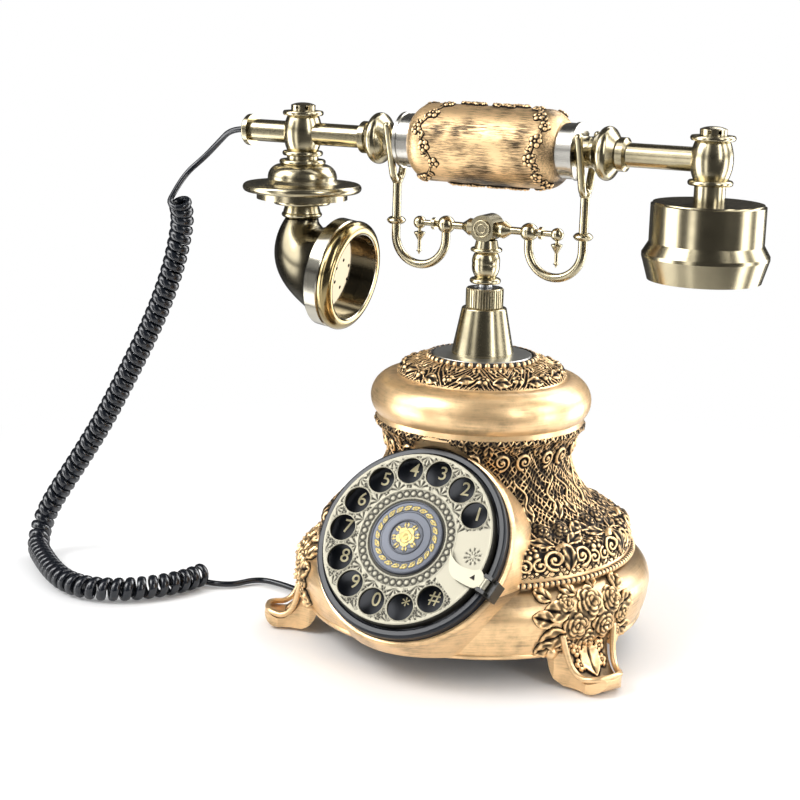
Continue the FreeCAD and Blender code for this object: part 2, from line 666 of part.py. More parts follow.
def switch_bracket():
    """A strip that hangs from the tube's nut and carries the hook switch on its lower tab."""
    half = "bracket_width / 2"
    drop = f"{DOME_UNDERSIDE} - ({SWITCH_FOOT})"
    top = block("bracket_reach + bracket_width / 2", "bracket_width", "bracket_thickness",
                "-" + half, "-" + half, NUT_TOP)
    strip = block("bracket_thickness", "bracket_width", drop + " + bracket_thickness",
                  "bracket_reach - bracket_thickness", "-" + half, SWITCH_FOOT + " - bracket_thickness")
    tab = block("bracket_reach + switch_width / 2", "bracket_width", "bracket_thickness",
                "-switch_width / 2",
                "-" + half, SWITCH_FOOT + " - bracket_thickness")
    hole = cylinder(COLUMN_BORE, "bracket_thickness + 2", z=NUT_TOP + " - 1")
    return cut("switch_bracket", fused("bracket_strip", [top, strip, tab]), hole)


def hook_switch():
    case = block("switch_width", "switch_depth", "switch_height",
                 "-switch_width / 2", "-switch_depth / 2", SWITCH_FOOT)
    well = cylinder("button_radius + slip_gap", "switch_height", z=SWITCH_TOP + " - switch_height / 2")
    return cut("hook_switch", case, well)


def switch_button():
    return cylinder("button_radius", "button_height + 1.5 - slip_gap", z=SWITCH_TOP + " - 1.5")


# Cradle

HUB_FRONT = "hub_depth / 2"
STEM_BORE = "plunger_radius + slip_gap"
PLUNGER_TOP = "stem_top_height - 4"
HOOK_BEND = "(hook_x - ball_x) / 2"
PRONG_REACH = "neck_radius + prong_radius + seat_gap - fork_bend_radius"
FORK_HEIGHT = f"(handset_height - ({PRONG_REACH}) / sin(fork_angle))"


def cradle_stem():
    ring_top = "stem_foot_height + stem_ring_height"
    upper_ring = "stem_top_height - 5.4"
    return turned("cradle_stem", [
        ("0", PLUNGER_TOP),
        (STEM_BORE, PLUNGER_TOP),
        (STEM_BORE, "stem_foot_height"),
        ("stem_ring_radius - 0.6", "stem_foot_height"),
        ("stem_ring_radius - 0.6", ring_top, -0.3),
        ("stem_waist_radius", ring_top + " + 0.6"),
        ("stem_belly_radius", "stem_belly_height", -0.1),
        ("stem_waist_radius", upper_ring, -0.12),
        ("stem_ring_radius - 0.4", upper_ring),
        ("stem_ring_radius - 0.4", upper_ring + " + 1.8", -0.35),
        ("stem_top_radius", upper_ring + " + 1.8"),
        ("stem_top_radius - 0.8", "stem_top_height"),
        ("0", "stem_top_height"),
    ])


def plunger_rod():
    return turned("plunger_rod", [
        ("0", "plunger_foot_height"),
        ("plunger_radius", "plunger_foot_height"),
        ("plunger_radius", PLUNGER_COLLAR),
        ("counterbore_radius - fit_gap", PLUNGER_COLLAR),
        ("counterbore_radius - fit_gap", PLUNGER_COLLAR + " + plunger_collar_height"),
        ("plunger_radius", PLUNGER_COLLAR + " + plunger_collar_height"),
        ("plunger_radius", PLUNGER_TOP + " - 0.1"),
        ("0", PLUNGER_TOP + " - 0.1"),
    ])


def plunger_clip():
    top = "tube_foot_height - cradle_travel - seat_gap"
    return sleeve("plunger_clip", top + " - clip_thickness", top, "clip_radius", TUBE_BORE)


def cradle_hub():
    """A round boss with its axis towards the dial, a raised disc on each face and flat seats."""
    step = "hub_radius * 0.68"
    boss = turned("hub_boss", [
        ("0", f"-{HUB_FRONT} - 0.6"),
        (step, f"-{HUB_FRONT} - 0.6"),
        (step, f"-{HUB_FRONT}"),
        ("hub_radius", f"-{HUB_FRONT}"),
        ("hub_radius", HUB_FRONT),
        (step, HUB_FRONT),
        (step, HUB_FRONT + " + 0.6"),
        ("0", HUB_FRONT + " + 0.6"),
    ])
    place(boss, z="hub_height", turn="90", axis=X_AXIS)
    below = cylinder("2 * hub_radius", "2 * hub_radius", z="stem_top_height - 2 * hub_radius")
    sides = [block("hub_radius", "4 * hub_radius", "4 * hub_radius",
                   x, "-2 * hub_radius", "hub_height - 2 * hub_radius")
             for x in ("socket_reach * 0.62", "-socket_reach * 0.62 - hub_radius")]
    return cut("cradle_hub", boss, fused("hub_flats", [below] + sides))


def arm(name, side):
    """A turned rod with two balls; the hook hangs in a hole in the larger one."""
    neck = "sqrt(ball_radius^2 - arm_radius^2)"
    tip_neck = "sqrt(tip_radius^2 - tip_rod_radius^2)"
    rod = turned_along_x(name + "_rod", [
        (f"{side} * socket_reach * 0.62", "0"),
        (f"{side} * socket_reach * 0.62", "socket_radius - 0.6"),
        (f"{side} * socket_reach", "socket_radius"),
        (f"{side} * (socket_reach + 3.6)", "arm_radius"),
        (f"{side} * ball_x", "arm_radius"),
        (f"{side} * (ball_x + {neck})", "arm_radius"),
        (f"{side} * (ring_x - ring_width / 2)", "tip_rod_radius"),
        (f"{side} * (ring_x - ring_width / 2)", "ring_radius"),
        (f"{side} * (ring_x + ring_width / 2)", "ring_radius"),
        (f"{side} * (ring_x + ring_width / 2)", "tip_rod_radius"),
        (f"{side} * (tip_x - {tip_neck})", "tip_rod_radius"),
        (f"{side} * tip_x", "tip_rod_radius"),
        (f"{side} * tip_x", "0"),
    ])
    place(rod, z="arm_height")
    balls = [ball("ball_radius", f"{side} * ball_x", z="arm_height"),
             ball("tip_radius", f"{side} * tip_x", z="arm_height")]
    hook_hole = cylinder("hook_rod_radius + slip_gap", "ball_radius + 1", f"{side} * ball_x",
                         z="arm_height - ball_radius - 1")
    pin_hole = cylinder("pendant_pin_radius + slip_gap", "tip_radius + 1", f"{side} * tip_x",
                        z="arm_height - tip_radius - 1")
    return cut(name, fused(name + "_turned", [rod] + balls), fused(name + "_holes", [hook_hole, pin_hole]))


def pendant(name, side):
    """A drop under the arm's tip: a pin, an upturned cone, a stem and a bead."""
    top = "-tip_radius - 1"
    foot_end = "-pendant_length - 1.5"
    return place(turned(name, [
        ("0", "-tip_radius * 0.5"),
        ("pendant_pin_radius", "-tip_radius * 0.5"),
        ("pendant_pin_radius", top),
        ("pendant_radius", top + " - 0.6"),
        ("pendant_radius", top + " - 1.2"),
        ("pendant_pin_radius", "-pendant_length * 0.62"),
        ("pendant_pin_radius", "-pendant_length + pendant_bead_radius"),
        ("pendant_bead_radius", "-pendant_length", -0.2),
        ("pendant_pin_radius / 2", foot_end, -0.2),
        ("0", foot_end),
    ]), f"{side} * tip_x", z="arm_height")


def hook(name, side):
    """A rod that drops from the ball, bends round below it and rises to a two-pronged fork."""
    outer_x, fork_foot = f"{side} * hook_x", f"{FORK_HEIGHT} - fork_bend_radius"
    bend = place(bent_rod(name + "_bend", "YZ_Plane", HOOK_BEND, "hook_rod_radius", "180"),
                 f"{side} * (ball_x + {HOOK_BEND})", z="hook_bend_height")
    inner_leg = cylinder("hook_rod_radius", "arm_height - hook_bend_height - 0.1", f"{side} * ball_x",
                         z="hook_bend_height")
    outer_leg = cylinder("hook_rod_radius", f"{fork_foot} - hook_bend_height", outer_x, z="hook_bend_height")
    bead = place(turned(name + "_bead", [
        ("0", "-hook_collar_width / 2"),
        ("hook_collar_radius - 1.6", "-hook_collar_width / 2"),
        ("hook_collar_radius", "0", -0.1),
        ("hook_collar_radius - 1.6", "hook_collar_width / 2", -0.1),
        ("0", "hook_collar_width / 2"),
    ]), outer_x, z="arm_height")
    fork_bend = place(bent_rod(name + "_fork", "XZ_Plane", "fork_bend_radius", "prong_radius",
                               "180 - 2 * fork_angle"), outer_x, z=FORK_HEIGHT)
    pieces = [bend, inner_leg, outer_leg, bead, fork_bend, ball("prong_radius * 1.5", outer_x, z=fork_foot)]
    for way, lean in (("-", "fork_angle"), ("+", "-fork_angle")):
        across = f"0 {way} fork_bend_radius * cos(fork_angle)"
        height = f"{FORK_HEIGHT} - fork_bend_radius * sin(fork_angle)"
        pieces.append(cross_cylinder("prong_radius", "prong_length", outer_x, across, height, lean, X_AXIS))
        pieces.append(ball("prong_radius", outer_x, f"{across} {way} prong_length * sin(fork_angle)",
                           f"{height} + prong_length * cos(fork_angle)"))
    return fused(name, pieces)


# Handset

FERRULE_END = "(grip_half_length + ferrule_width)"
BEAD_IN = "(bead_x - bead_width / 2)"
BEAD_OUT = "(bead_x + bead_width / 2)"
CORE_FIT = "core_radius + slip_gap"
TEE_TOP = "handset_height + tee_half_height"
TEE_FOOT = "handset_height - tee_half_height"


def at_handset(body):
    return place(body, z="handset_height")


def core_tube():
    return at_handset(turned_along_x("core_tube", [
        ("-cord_end_x + end_ring_width", "core_bore"),
        ("-cord_end_x + end_ring_width", "core_radius"),
        ("ear_tee_x - tee_radius * 0.4", "core_radius"),
        ("ear_tee_x - tee_radius * 0.4", "core_bore"),
    ]))


def grip_sleeve():
    return at_handset(turned_along_x("grip_sleeve", [
        ("-grip_half_length", CORE_FIT),
        ("-grip_half_length", "grip_end_radius"),
        ("-grip_half_length + grip_round", "grip_radius", 0.13),
        ("grip_half_length - grip_round", "grip_radius"),
        ("grip_half_length", "grip_end_radius", 0.13),
        ("grip_half_length", CORE_FIT),
    ]))


def ferrule(name, side):
    return at_handset(turned_along_x(name, [
        (f"{side} * grip_half_length", CORE_FIT),
        (f"{side} * grip_half_length", "ferrule_radius - 0.5"),
        (f"{side} * ({FERRULE_END} - 1.6)", "ferrule_radius - 0.5"),
        (f"{side} * ({FERRULE_END} - 1.6)", "ferrule_radius"),
        (f"{side} * {FERRULE_END}", "ferrule_radius"),
        (f"{side} * {FERRULE_END}", CORE_FIT),
    ]))


def neck(name, side):
    """The waist that lies in a fork, the round bead beside it and a small collar."""
    bow = -0.28 if side == "-1" else 0.28
    return at_handset(turned_along_x(name, [
        (f"{side} * {FERRULE_END}", CORE_FIT),
        (f"{side} * {FERRULE_END}", "neck_radius + 1.2"),
        (f"{side} * (hook_x - prong_radius - 0.4)", "neck_radius"),
        (f"{side} * (hook_x + prong_radius + 0.4)", "neck_radius"),
        (f"{side} * {BEAD_IN}", "neck_radius + 0.6"),
        (f"{side} * (bead_x - bead_width * 0.25)", "bead_radius - 1.4"),
        (f"{side} * (bead_x + bead_width * 0.25)", "bead_radius - 1.4", bow),
        (f"{side} * {BEAD_OUT}", "neck_collar_radius - 0.8"),
        (f"{side} * (collar_x - 2)", "neck_collar_radius - 0.8"),
        (f"{side} * (collar_x - 2)", "neck_collar_radius"),
        (f"{side} * (collar_x + 1)", "neck_collar_radius"),
        (f"{side} * (collar_x + 2)", "core_radius + 0.6"),
        (f"{side} * (collar_x + 2)", CORE_FIT),
    ]))


def end_ring():
    """The flange at the handset's end that the cord comes out of."""
    return at_handset(turned_along_x("cord_end_ring", [
        ("-cord_end_x", "0"),
        ("-cord_end_x", "end_ring_radius - 0.8"),
        ("-cord_end_x + 0.8", "end_ring_radius", 0.2),
        ("-cord_end_x + end_ring_width", "end_ring_radius"),
        ("-cord_end_x + end_ring_width", "0"),
    ]))


def tee(name, x, neck_foot, neck_radius, open_end):
    """A barrel on a vertical axis with a ring above and below and a cross bore for the core tube."""
    barrel = place(turned(name + "_barrel", [
        ("0", neck_foot),
        (neck_radius, neck_foot),
        (neck_radius, TEE_FOOT + " - tee_ring_height"),
        ("tee_ring_radius - 0.6", TEE_FOOT + " - tee_ring_height"),
        ("tee_ring_radius - 0.6", TEE_FOOT, -0.25),
        ("tee_radius * 0.81", TEE_FOOT),
        ("tee_radius * 0.81", TEE_TOP, -0.11),
        ("tee_ring_radius - 0.6", TEE_TOP),
        ("tee_ring_radius - 0.6", TEE_TOP + " + tee_ring_height", -0.25),
        ("nut_cap_radius", TEE_TOP + " + tee_ring_height"),
        ("0", TEE_TOP + " + tee_ring_height"),
    ]), x)
    reach = "4 * tee_radius" if open_end else "1.6 * tee_radius + slip_gap"
    return cut(name, barrel, cross_cylinder(CORE_FIT, reach, x + " - 2 * tee_radius", z="handset_height"))


def cap_nuts():
    """Round nuts with three finger slots, one on top of each tee."""
    nut_foot = TEE_TOP + " + tee_ring_height"
    nuts = []
    for name, x in (("mouth_nut", "-mouth_tee_x"), ("ear_nut", "ear_tee_x")):
        cap = place(turned(name, [
            ("0", nut_foot),
            ("nut_cap_radius", nut_foot),
            ("nut_cap_radius", nut_foot + " + nut_cap_height * 0.7"),
            ("1", nut_foot + " + nut_cap_height", -0.06),
            ("0", nut_foot + " + nut_cap_height"),
        ]), x)
        slots = [cross_cylinder("nut_cap_height * 0.22", "3 * nut_cap_radius", x, "0",
                                nut_foot + " + nut_cap_height * 0.4", "90", way)
                 for way in (X_AXIS, Vector(1, 1, 0), Vector(-1, 1, 0))]
        nuts.append(cut(name + "_slotted", cap, fused(name + "_slots", slots)))
    return group("cap_nuts", nuts)


def mouthpiece_skirt():
    """A bell under the tee, a wide rolled disc and the stepped rings below it."""
    top = TEE_FOOT + " - tee_ring_height - 2"
    return place(turned("mouthpiece_skirt", [
        ("0", top),
        ("0", "elbow_top_height"),
        ("elbow_top_radius - 0.8", "elbow_top_height"),
        ("elbow_top_radius + 1", "elbow_top_height + 1.2"),
        ("elbow_top_radius + 1", "elbow_top_height + 3.4", -0.3),
        ("elbow_top_radius", "skirt_step_height - 4.5"),
        ("skirt_step_radius * 0.6", "skirt_step_height - 4"),
        ("skirt_step_radius * 0.6", "skirt_step_height - 1.8", -0.3),
        ("skirt_step_radius", "skirt_step_height - 1.4"),
        ("skirt_step_radius", "skirt_height - skirt_rim / 2"),
        ("skirt_radius - 1.4", "skirt_height - skirt_rim / 2"),
        ("skirt_radius - 1.4", "skirt_height + skirt_rim / 2", -0.35),
        ("bell_radius + 2", "skirt_height + skirt_rim / 2 + 0.6"),
        ("bell_radius", "bell_height - 1"),
        ("skirt_neck_radius + 3", top + " - 2.4", -0.22),
        ("skirt_neck_radius + 3", top, -0.3),
    ]), "-mouth_tee_x")


HORN_TURN = "(90 - horn_droop)"
PIVOT_X = "-mouth_tee_x + elbow_top_radius + elbow_pivot"
PIVOT_Z = "elbow_top_height - elbow_run"
HORN_REACH = "(elbow_pivot + elbow_throat_radius)"
HORN_X = f"{PIVOT_X} - {HORN_REACH} * cos({HORN_TURN}) + elbow_throat * sin({HORN_TURN})"
HORN_Z = f"{PIVOT_Z} - {HORN_REACH} * sin({HORN_TURN}) - elbow_throat * cos({HORN_TURN})"
FLARE = ((0.2, 0.2), (0.5, 0.52), (1.0, 1.0))


def elbow_ring(name, radius, inset, turn, onward="0"):
    """A circle square to the horn's axis, turned about the inner corner of its bend."""
    ring = doc.addObject("Part::Circle", name)
    ring.setExpression("Radius", cells(f"{radius} - {inset}"))
    across = f"{PIVOT_X} - (elbow_pivot + {radius}) * cos({turn}) + ({onward}) * sin({turn})"
    height = f"{PIVOT_Z} - (elbow_pivot + {radius}) * sin({turn}) - ({onward}) * cos({turn})"
    return place(ring, across, z=height, turn=f"-{turn}", axis=Vector(0, 1, 0))


def elbow_rings(name, inset, beyond):
    """Rings round the bend, and one at the end of the throat."""
    rings = []
    for share, widening in FLARE:
        radius = f"(elbow_top_radius + (elbow_throat_radius - elbow_top_radius) * {widening})"
        rings.append(elbow_ring(name, radius, inset, f"{HORN_TURN} * {share}"))
    widening = "elbow_end_radius - elbow_throat_radius"
    rings.append(elbow_ring(name, "elbow_throat_radius", f"({inset} - ({widening}))", HORN_TURN,
                            "elbow_throat + " + beyond))
    return rings


def elbow_loft(name, rings):
    loft = doc.addObject("Part::Loft", name)
    loft.Sections = rings
    loft.Solid = True
    return loft


def horn_elbow():
    """A hollow horn that drops from the rings above it and widens as it bends to the front."""
    top = elbow_ring("skin_ring", "elbow_top_radius", "0", "0", "-elbow_run")
    skin = elbow_loft("elbow_skin", [top] + elbow_rings("skin_ring", "0", "0"))
    inside = elbow_loft("elbow_inside", elbow_rings("inside_ring", "elbow_wall", "0.5"))
    return cut("horn_elbow", skin, inside)


def at_horn(body):
    """Stand an upright turned piece on the horn's axis with z = 0 at the end of the elbow."""
    return place(body, HORN_X, z=HORN_Z, turn="90 + horn_droop", axis=Vector(0, 1, 0))


def horn_rim():
    return at_horn(turned("horn_rim", [
        ("elbow_end_radius - elbow_wall", "0"),
        ("rim_radius - 1", "0"),
        ("rim_radius", "1"),
        ("rim_radius", "rim_length * 0.5"),
        ("rim_radius - 0.8", "rim_length * 0.55"),
        ("rim_radius", "rim_length * 0.6"),
        ("rim_mouth_radius + 1", "rim_length", -0.3),
        ("rim_mouth_radius", "rim_length - 0.6"),
        ("rim_mouth_radius", "rim_length - grille_depth - grille_thickness"),
        ("elbow_end_radius - elbow_wall", "rim_length - grille_depth - grille_thickness - 1.5"),
    ]))


def horn_grille():
    body = turned("horn_grille", [
        ("0", "rim_length - grille_depth - grille_thickness"),
        ("rim_mouth_radius - slip_gap", "rim_length - grille_depth - grille_thickness"),
        ("rim_mouth_radius - slip_gap", "rim_length - grille_depth"),
        ("0", "rim_length - grille_depth"),
    ])
    drill_pattern(body, "grille_hole_circle", "0", "grille_hole_radius", "rim_length - grille_depth",
                  "grille_thickness + 1", "6", None)
    return at_horn(body)


def microphone():
    top = "rim_length - grille_depth - grille_thickness"
    return at_horn(turned("microphone", [
        ("0", top + " - microphone_depth"),
        ("microphone_radius", top + " - microphone_depth"),
        ("microphone_radius", top),
        ("0", top),
    ]))


CUP_WALL_TOP = "cup_top_height - cap_wall"
CUP_BORE = "cup_radius - cap_wall"


def earpiece_cup():
    return place(turned("earpiece_cup", [
        ("0", "cup_top_height"),
        ("0", CUP_WALL_TOP),
        (CUP_BORE, CUP_WALL_TOP),
        (CUP_BORE, "cup_foot_height"),
        ("cup_radius", "cup_foot_height"),
        ("cup_radius", "cup_top_height - 1"),
        ("cup_radius - 1", "cup_top_height", 0.2),
    ]), "ear_tee_x")


def earpiece_cap():
    floor_top = "cap_foot_height + cap_wall"
    body = turned("earpiece_cap", [
        ("0", "cap_foot_height"),
        ("cap_foot_radius", "cap_foot_height"),
        ("cap_radius", "cap_belly_height"),
        ("cap_radius", "cap_belly_height + 1.6"),
        ("cup_radius", "cup_foot_height"),
        (CUP_BORE, "cup_foot_height"),
        (CUP_BORE, floor_top),
        ("0", floor_top),
    ])
    drill_pattern(body, "cap_hole_circle", "0", "cap_hole_radius", floor_top, "cap_wall + 1", "8", None)
    return place(body, "ear_tee_x")


def receiver():
    foot_height = "cap_foot_height + cap_wall"
    return place(turned("receiver", [
        ("cap_hole_circle + 3", foot_height),
        ("receiver_radius", foot_height),
        ("receiver_radius", foot_height + " + receiver_height * 0.4"),
        ("receiver_radius * 0.5", foot_height + " + receiver_height"),
        ("0", foot_height + " + receiver_height"),
        ("0", foot_height + " + receiver_height * 0.5"),
    ]), "ear_tee_x")


# Dial, modelled upright with z = 0 at the face of the finger wheel

FRAME_TOP = "-ledge_drop + frame_thickness"
DISH_TOP = FRAME_TOP + " + dish_thickness"
BEZEL_TOP = DISH_TOP + " + bezel_height"
GEAR_CENTRES = "gear_module * (gear_teeth + pinion_teeth) / 2"
GOVERNOR = around(GEAR_CENTRES, "governor_angle")


def dial_bezel():
    return on_dial(turned("dial_bezel", [
        ("bezel_bore", DISH_TOP),
        ("bezel_radius", DISH_TOP),
        ("bezel_radius", DISH_TOP + " + bezel_height * 0.5"),
        ("bezel_radius - 1.2", BEZEL_TOP, -0.2),
        ("bezel_bore + 0.6", BEZEL_TOP),
        ("bezel_bore", BEZEL_TOP + " - 0.6"),
    ]))


def dial_dish():
    """The plate behind the finger holes that carries the numbers."""
    return on_dial(turned("dial_dish", [
        ("dish_bore", FRAME_TOP),
        ("bezel_radius", FRAME_TOP),
        ("bezel_radius", DISH_TOP),
        ("dish_bore", DISH_TOP),
    ]))


def dial_frame():
    """The metal plate on the housing's ledge, with a bush for the dial shaft and one for the governor."""
    plate = on_dial(turned("frame_plate", [
        ("shaft_radius + slip_gap", "-ledge_drop"),
        ("bezel_radius", "-ledge_drop"),
        ("bezel_radius", FRAME_TOP),
        ("bush_radius", FRAME_TOP),
        ("bush_radius", FRAME_TOP + " + bush_length"),
        ("shaft_radius + slip_gap", FRAME_TOP + " + bush_length"),
    ]))
    pin = new_body("governor_bush")
    hole = circle(sketch_on(pin, "XY_Plane", FRAME_TOP), *GOVERNOR, "governor_pin_radius + slip_gap")
    depth = pin.newObject("PartDesign::Pad", "governor_bush_pad")
    depth.Profile = hole
    depth.Reversed = True
    depth.setExpression("Length", cells("frame_thickness"))
    pin.Tip = depth
    holes = dial_screw_ring("frame_holes", DIAL_SCREW_HOLE, FRAME_TOP, "frame_thickness")
    return cut("dial_frame", plate, fused("frame_bores", [on_dial(pin), holes]))


def dial_screws():
    return dial_screw_ring("dial_screws", "dial_screw_radius", FRAME_TOP,
                           "frame_thickness + dial_screw_length - 0.5")


def finger_wheel():
    skirt_bore = "wheel_radius - wheel_skirt_wall"
    body = turned("finger_wheel", [
        ("shaft_radius + slip_gap", "-wheel_skirt"),
        ("wheel_hub_radius", "-wheel_skirt"),
        ("wheel_hub_radius", "-wheel_thickness"),
        (skirt_bore, "-wheel_thickness"),
        (skirt_bore, "-wheel_skirt"),
        ("wheel_radius", "-wheel_skirt"),
        ("wheel_radius", "-0.5"),
        ("wheel_radius - 0.5", "0", 0.2),
        ("badge_radius + fit_gap", "0"),
        ("badge_radius + fit_gap", "-badge_recess"),
        ("shaft_radius + slip_gap", "-badge_recess"),
    ])
    drill_pattern(body, "hole_circle", "0", "hole_radius", "0", "wheel_skirt",
                  "hole_count", "hole_pitch", "hole_first")
    return on_dial(body)


def centre_badge():
    return on_dial(turned("centre_badge", [
        ("0", "-badge_recess"),
        ("badge_radius", "-badge_recess"),
        ("badge_radius", "badge_height - badge_recess - 0.6"),
        ("badge_radius - 1.5", "badge_height - badge_recess"),
        ("badge_radius * 0.3", "badge_height - badge_recess + 0.6"),
        ("0", "badge_height - badge_recess + 0.6"),
    ]))


def dial_shaft():
    return on_dial(turned("dial_shaft", [
        ("0", "-shaft_length"),
        ("shaft_radius - 0.4", "-shaft_length"),
        ("shaft_radius", "-shaft_length + 0.4"),
        ("shaft_radius", "-badge_recess - 0.1"),
        ("0", "-badge_recess - 0.1"),
    ]))


def toothed_wheel(teeth, lift, offset, bore, first):
    """A spur gear with straight-flanked teeth, thin enough to run with backlash."""
    module = number_of("gear_module")
    count = int(round(number_of(teeth)))
    pitch_radius = module * count / 2
    step = 2 * math.pi / count
    root, tip = pitch_radius - 1.25 * module, pitch_radius + 0.9 * module
    half_root, half_tip = 0.31 * step, 0.11 * step
    corners = []
    for k in range(count):
        for radius, aside in ((root, -half_root), (tip, -half_tip), (tip, half_tip), (root, half_root)):
            angle = first + k * step + aside
            corners.append(Vector(radius * math.cos(angle), radius * math.sin(angle), 0) + offset)
    face = Part.Face(Part.makePolygon(corners + corners[:1]))
    gear = face.extrude(Vector(0, 0, number_of("gear_width")))
    gear.translate(Vector(0, 0, lift))
    if bore:
        bore_foot = offset + Vector(0, 0, lift - 1)
        gear = gear.cut(Part.makeCylinder(bore, 2 * number_of("gear_width"), bore_foot))
    return gear


def dial_placement():
    spot = Vector(0, -number_of("dial_reach"), number_of("dial_height"))
    return Placement(spot, Rotation(X_AXIS, 90 - number_of("dial_tilt")))


def shaped(name, shape):
    """A piece that is drawn from a formula, on the dial's axis."""
    piece = doc.addObject("Part::Feature", name)
    piece.Shape = shape
    return piece


def main_gear():
    bore = number_of("shaft_radius + slip_gap")
    wheel = toothed_wheel("gear_teeth", -number_of("gear_drop"), Vector(), bore, 0)
    foot = Vector(0, 0, number_of("gear_width - gear_drop"))
    height = number_of("gear_drop - gear_width - coil_drop + 0.8 * coil_width")
    hub = Part.makeCylinder(bore + 3, height, foot)
    wheel = wheel.fuse(hub.cut(Part.makeCylinder(bore, height, foot)))
    piece = shaped("main_gear", wheel.removeSplitter())
    piece.Placement = dial_placement()
    return piece


def governor_spindle():
    """A pinion, a pin that runs in the frame and a pair of brake weights on a disc."""
    centres = number_of(GEAR_CENTRES)
    angle = math.radians(number_of("governor_angle"))
    spot = Vector(centres * math.cos(angle), centres * math.sin(angle), 0)
    teeth = number_of("gear_teeth")
    pinion_step = 2 * math.pi / number_of("pinion_teeth")
    ahead = (angle * teeth / (2 * math.pi)) % 1
    facing = angle + math.pi + ahead * pinion_step + pinion_step / 2
    drop = number_of("gear_drop")
    pinion = toothed_wheel("pinion_teeth", -drop, spot, 0, facing)
    radius = number_of("governor_pin_radius")
    pin_length = number_of("gear_drop - ledge_drop + frame_thickness")
    pin = Part.makeCylinder(radius, pin_length, spot + Vector(0, 0, -drop))
    rotor = Part.makeCylinder(number_of("governor_radius"), number_of("governor_length"),
                              spot + Vector(0, 0, -drop - 1.5 - number_of("governor_length")))
    stub = Part.makeCylinder(radius + 1, 2, spot + Vector(0, 0, -drop - 1.8))
    piece = shaped("governor_spindle", pinion.multiFuse([pin, rotor, stub]).removeSplitter())
    piece.Placement = dial_placement()
    return piece


def return_spring():
    """A flat strip wound in half circles about the dial shaft."""
    strip = number_of("coil_strip")
    growth = number_of("coil_pitch") / 2
    low = -number_of("coil_drop")
    radius = number_of("coil_inner_radius")
    half_turns = int(round(2 * number_of("coil_turns")))
    edges, back = [], []
    centre = 0.0
    for k in range(half_turns):
        side = 1 if k % 2 == 0 else -1
        for inset, line in ((0, edges), (strip, back)):
            r = radius + inset
            line.append(Part.Arc(Vector(centre + side * r, 0, low), Vector(centre, side * r, low),
                                 Vector(centre - side * r, 0, low)))
        centre += side * growth
        radius += growth
    ends = [(edges[0].StartPoint, back[0].StartPoint), (edges[-1].EndPoint, back[-1].EndPoint)]
    loop = [e.toShape() for e in edges + back] + [Part.LineSegment(*pair).toShape() for pair in ends]
    face = Part.Face(Part.Wire(Part.__sortEdges__(loop)))
    piece = shaped("return_spring", face.extrude(Vector(0, 0, number_of("coil_width"))))
    piece.Placement = dial_placement()
    return piece


# Finger stop, which tips a little on its pin as the redial key

KEY_FOOT = "key_lift"
PIN_HEIGHT = "key_lift + key_thickness / 2"


def stop_block():
    half = "stop_width / 2"
    base = padded("stop_base", "XY_Plane", [
        ("stop_inner", f"-{half}"), ("stop_outer", f"-{half}"), ("stop_outer", half), ("stop_inner", half),
    ], f"stop_top - ({BEZEL_TOP})", lift=BEZEL_TOP, turn="stop_angle")
    beside_bezel = "bezel_radius + fit_gap"
    skirt = padded("stop_skirt", "XY_Plane", [
        (beside_bezel, f"-{half}"), ("stop_outer", f"-{half}"), ("stop_outer", half), (beside_bezel, half),
    ], "stop_top + lip_drop", lift="-lip_drop", turn="stop_angle")
    ears = []
    inner, outer = "pin_reach - 2", "pin_reach + 2.4"
    for name, low, high in (("ear_near", f"-{half}", f"-{half} + stop_ear"),
                            ("ear_far", f"{half} - stop_ear", half)):
        ears.append(padded(name, "XY_Plane", [(inner, low), (outer, low), (outer, high), (inner, high)],
                           "ear_height + 0.5", lift="stop_top - 0.5", turn="stop_angle"))
    pieces = [on_dial(piece) for piece in [base, skirt] + ears]
    bore = stop_rod("stop_bore", "pin_radius + slip_gap", "stop_width + 2")
    return cut("stop_block", fused("stop_block_solid", pieces), bore)


def stop_rod(name, radius, length):
    """A rod along the pin's axis: a slim bar of square section turned round by its own revolution."""
    body = new_body(name)
    sketch = outline(sketch_on(body, "XY_Plane", PIN_HEIGHT, "stop_angle"), [
        ("pin_reach", f"-({length}) / 2"),
        (f"pin_reach + {radius}", f"-({length}) / 2"),
        (f"pin_reach + {radius}", f"({length}) / 2"),
        ("pin_reach", f"({length}) / 2"),
    ])
    spin = body.newObject("PartDesign::Revolution", name + "_turning")
    spin.Profile = sketch
    spin.ReferenceAxis = (sketch, ["Edge1"])
    spin.Angle = 360
    body.Tip = spin
    return on_dial(body)


def finger_stop():
    head = "stop_inner - 2.4"
    plate = padded("key_plate", "XY_Plane", [
        ("stop_inner - 20.4", "5.9"),
        ("stop_inner - 7", "2.3", -0.16),
        (head, "4.6", -0.1),
        (head + " + 4.6", "0", 0.2),
        (head, "-4.6", 0.2),
        ("stop_inner - 8", "-4.9", 0.02),
        ("stop_inner - 16.5", "-0.6", 0.16),
    ], "key_thickness", lift=KEY_FOOT, turn="stop_angle")
    tang = padded("key_tang", "XY_Plane", [
        ("stop_inner - 1", "-key_tang_width / 2"), ("pin_reach", "-key_tang_width / 2"),
        ("pin_reach", "key_tang_width / 2"), ("stop_inner - 1", "key_tang_width / 2"),
    ], "key_thickness", lift=KEY_FOOT, turn="stop_angle")
    knuckle = stop_rod("key_knuckle", "pin_radius + 0.8", "key_tang_width")
    solid = fused("key_solid", [on_dial(plate), on_dial(tang), knuckle])
    return cut("finger_stop", solid, stop_rod("key_bore", "pin_radius + slip_gap", "stop_width"))


# Cord and coil springs: tubes on tangent arcs

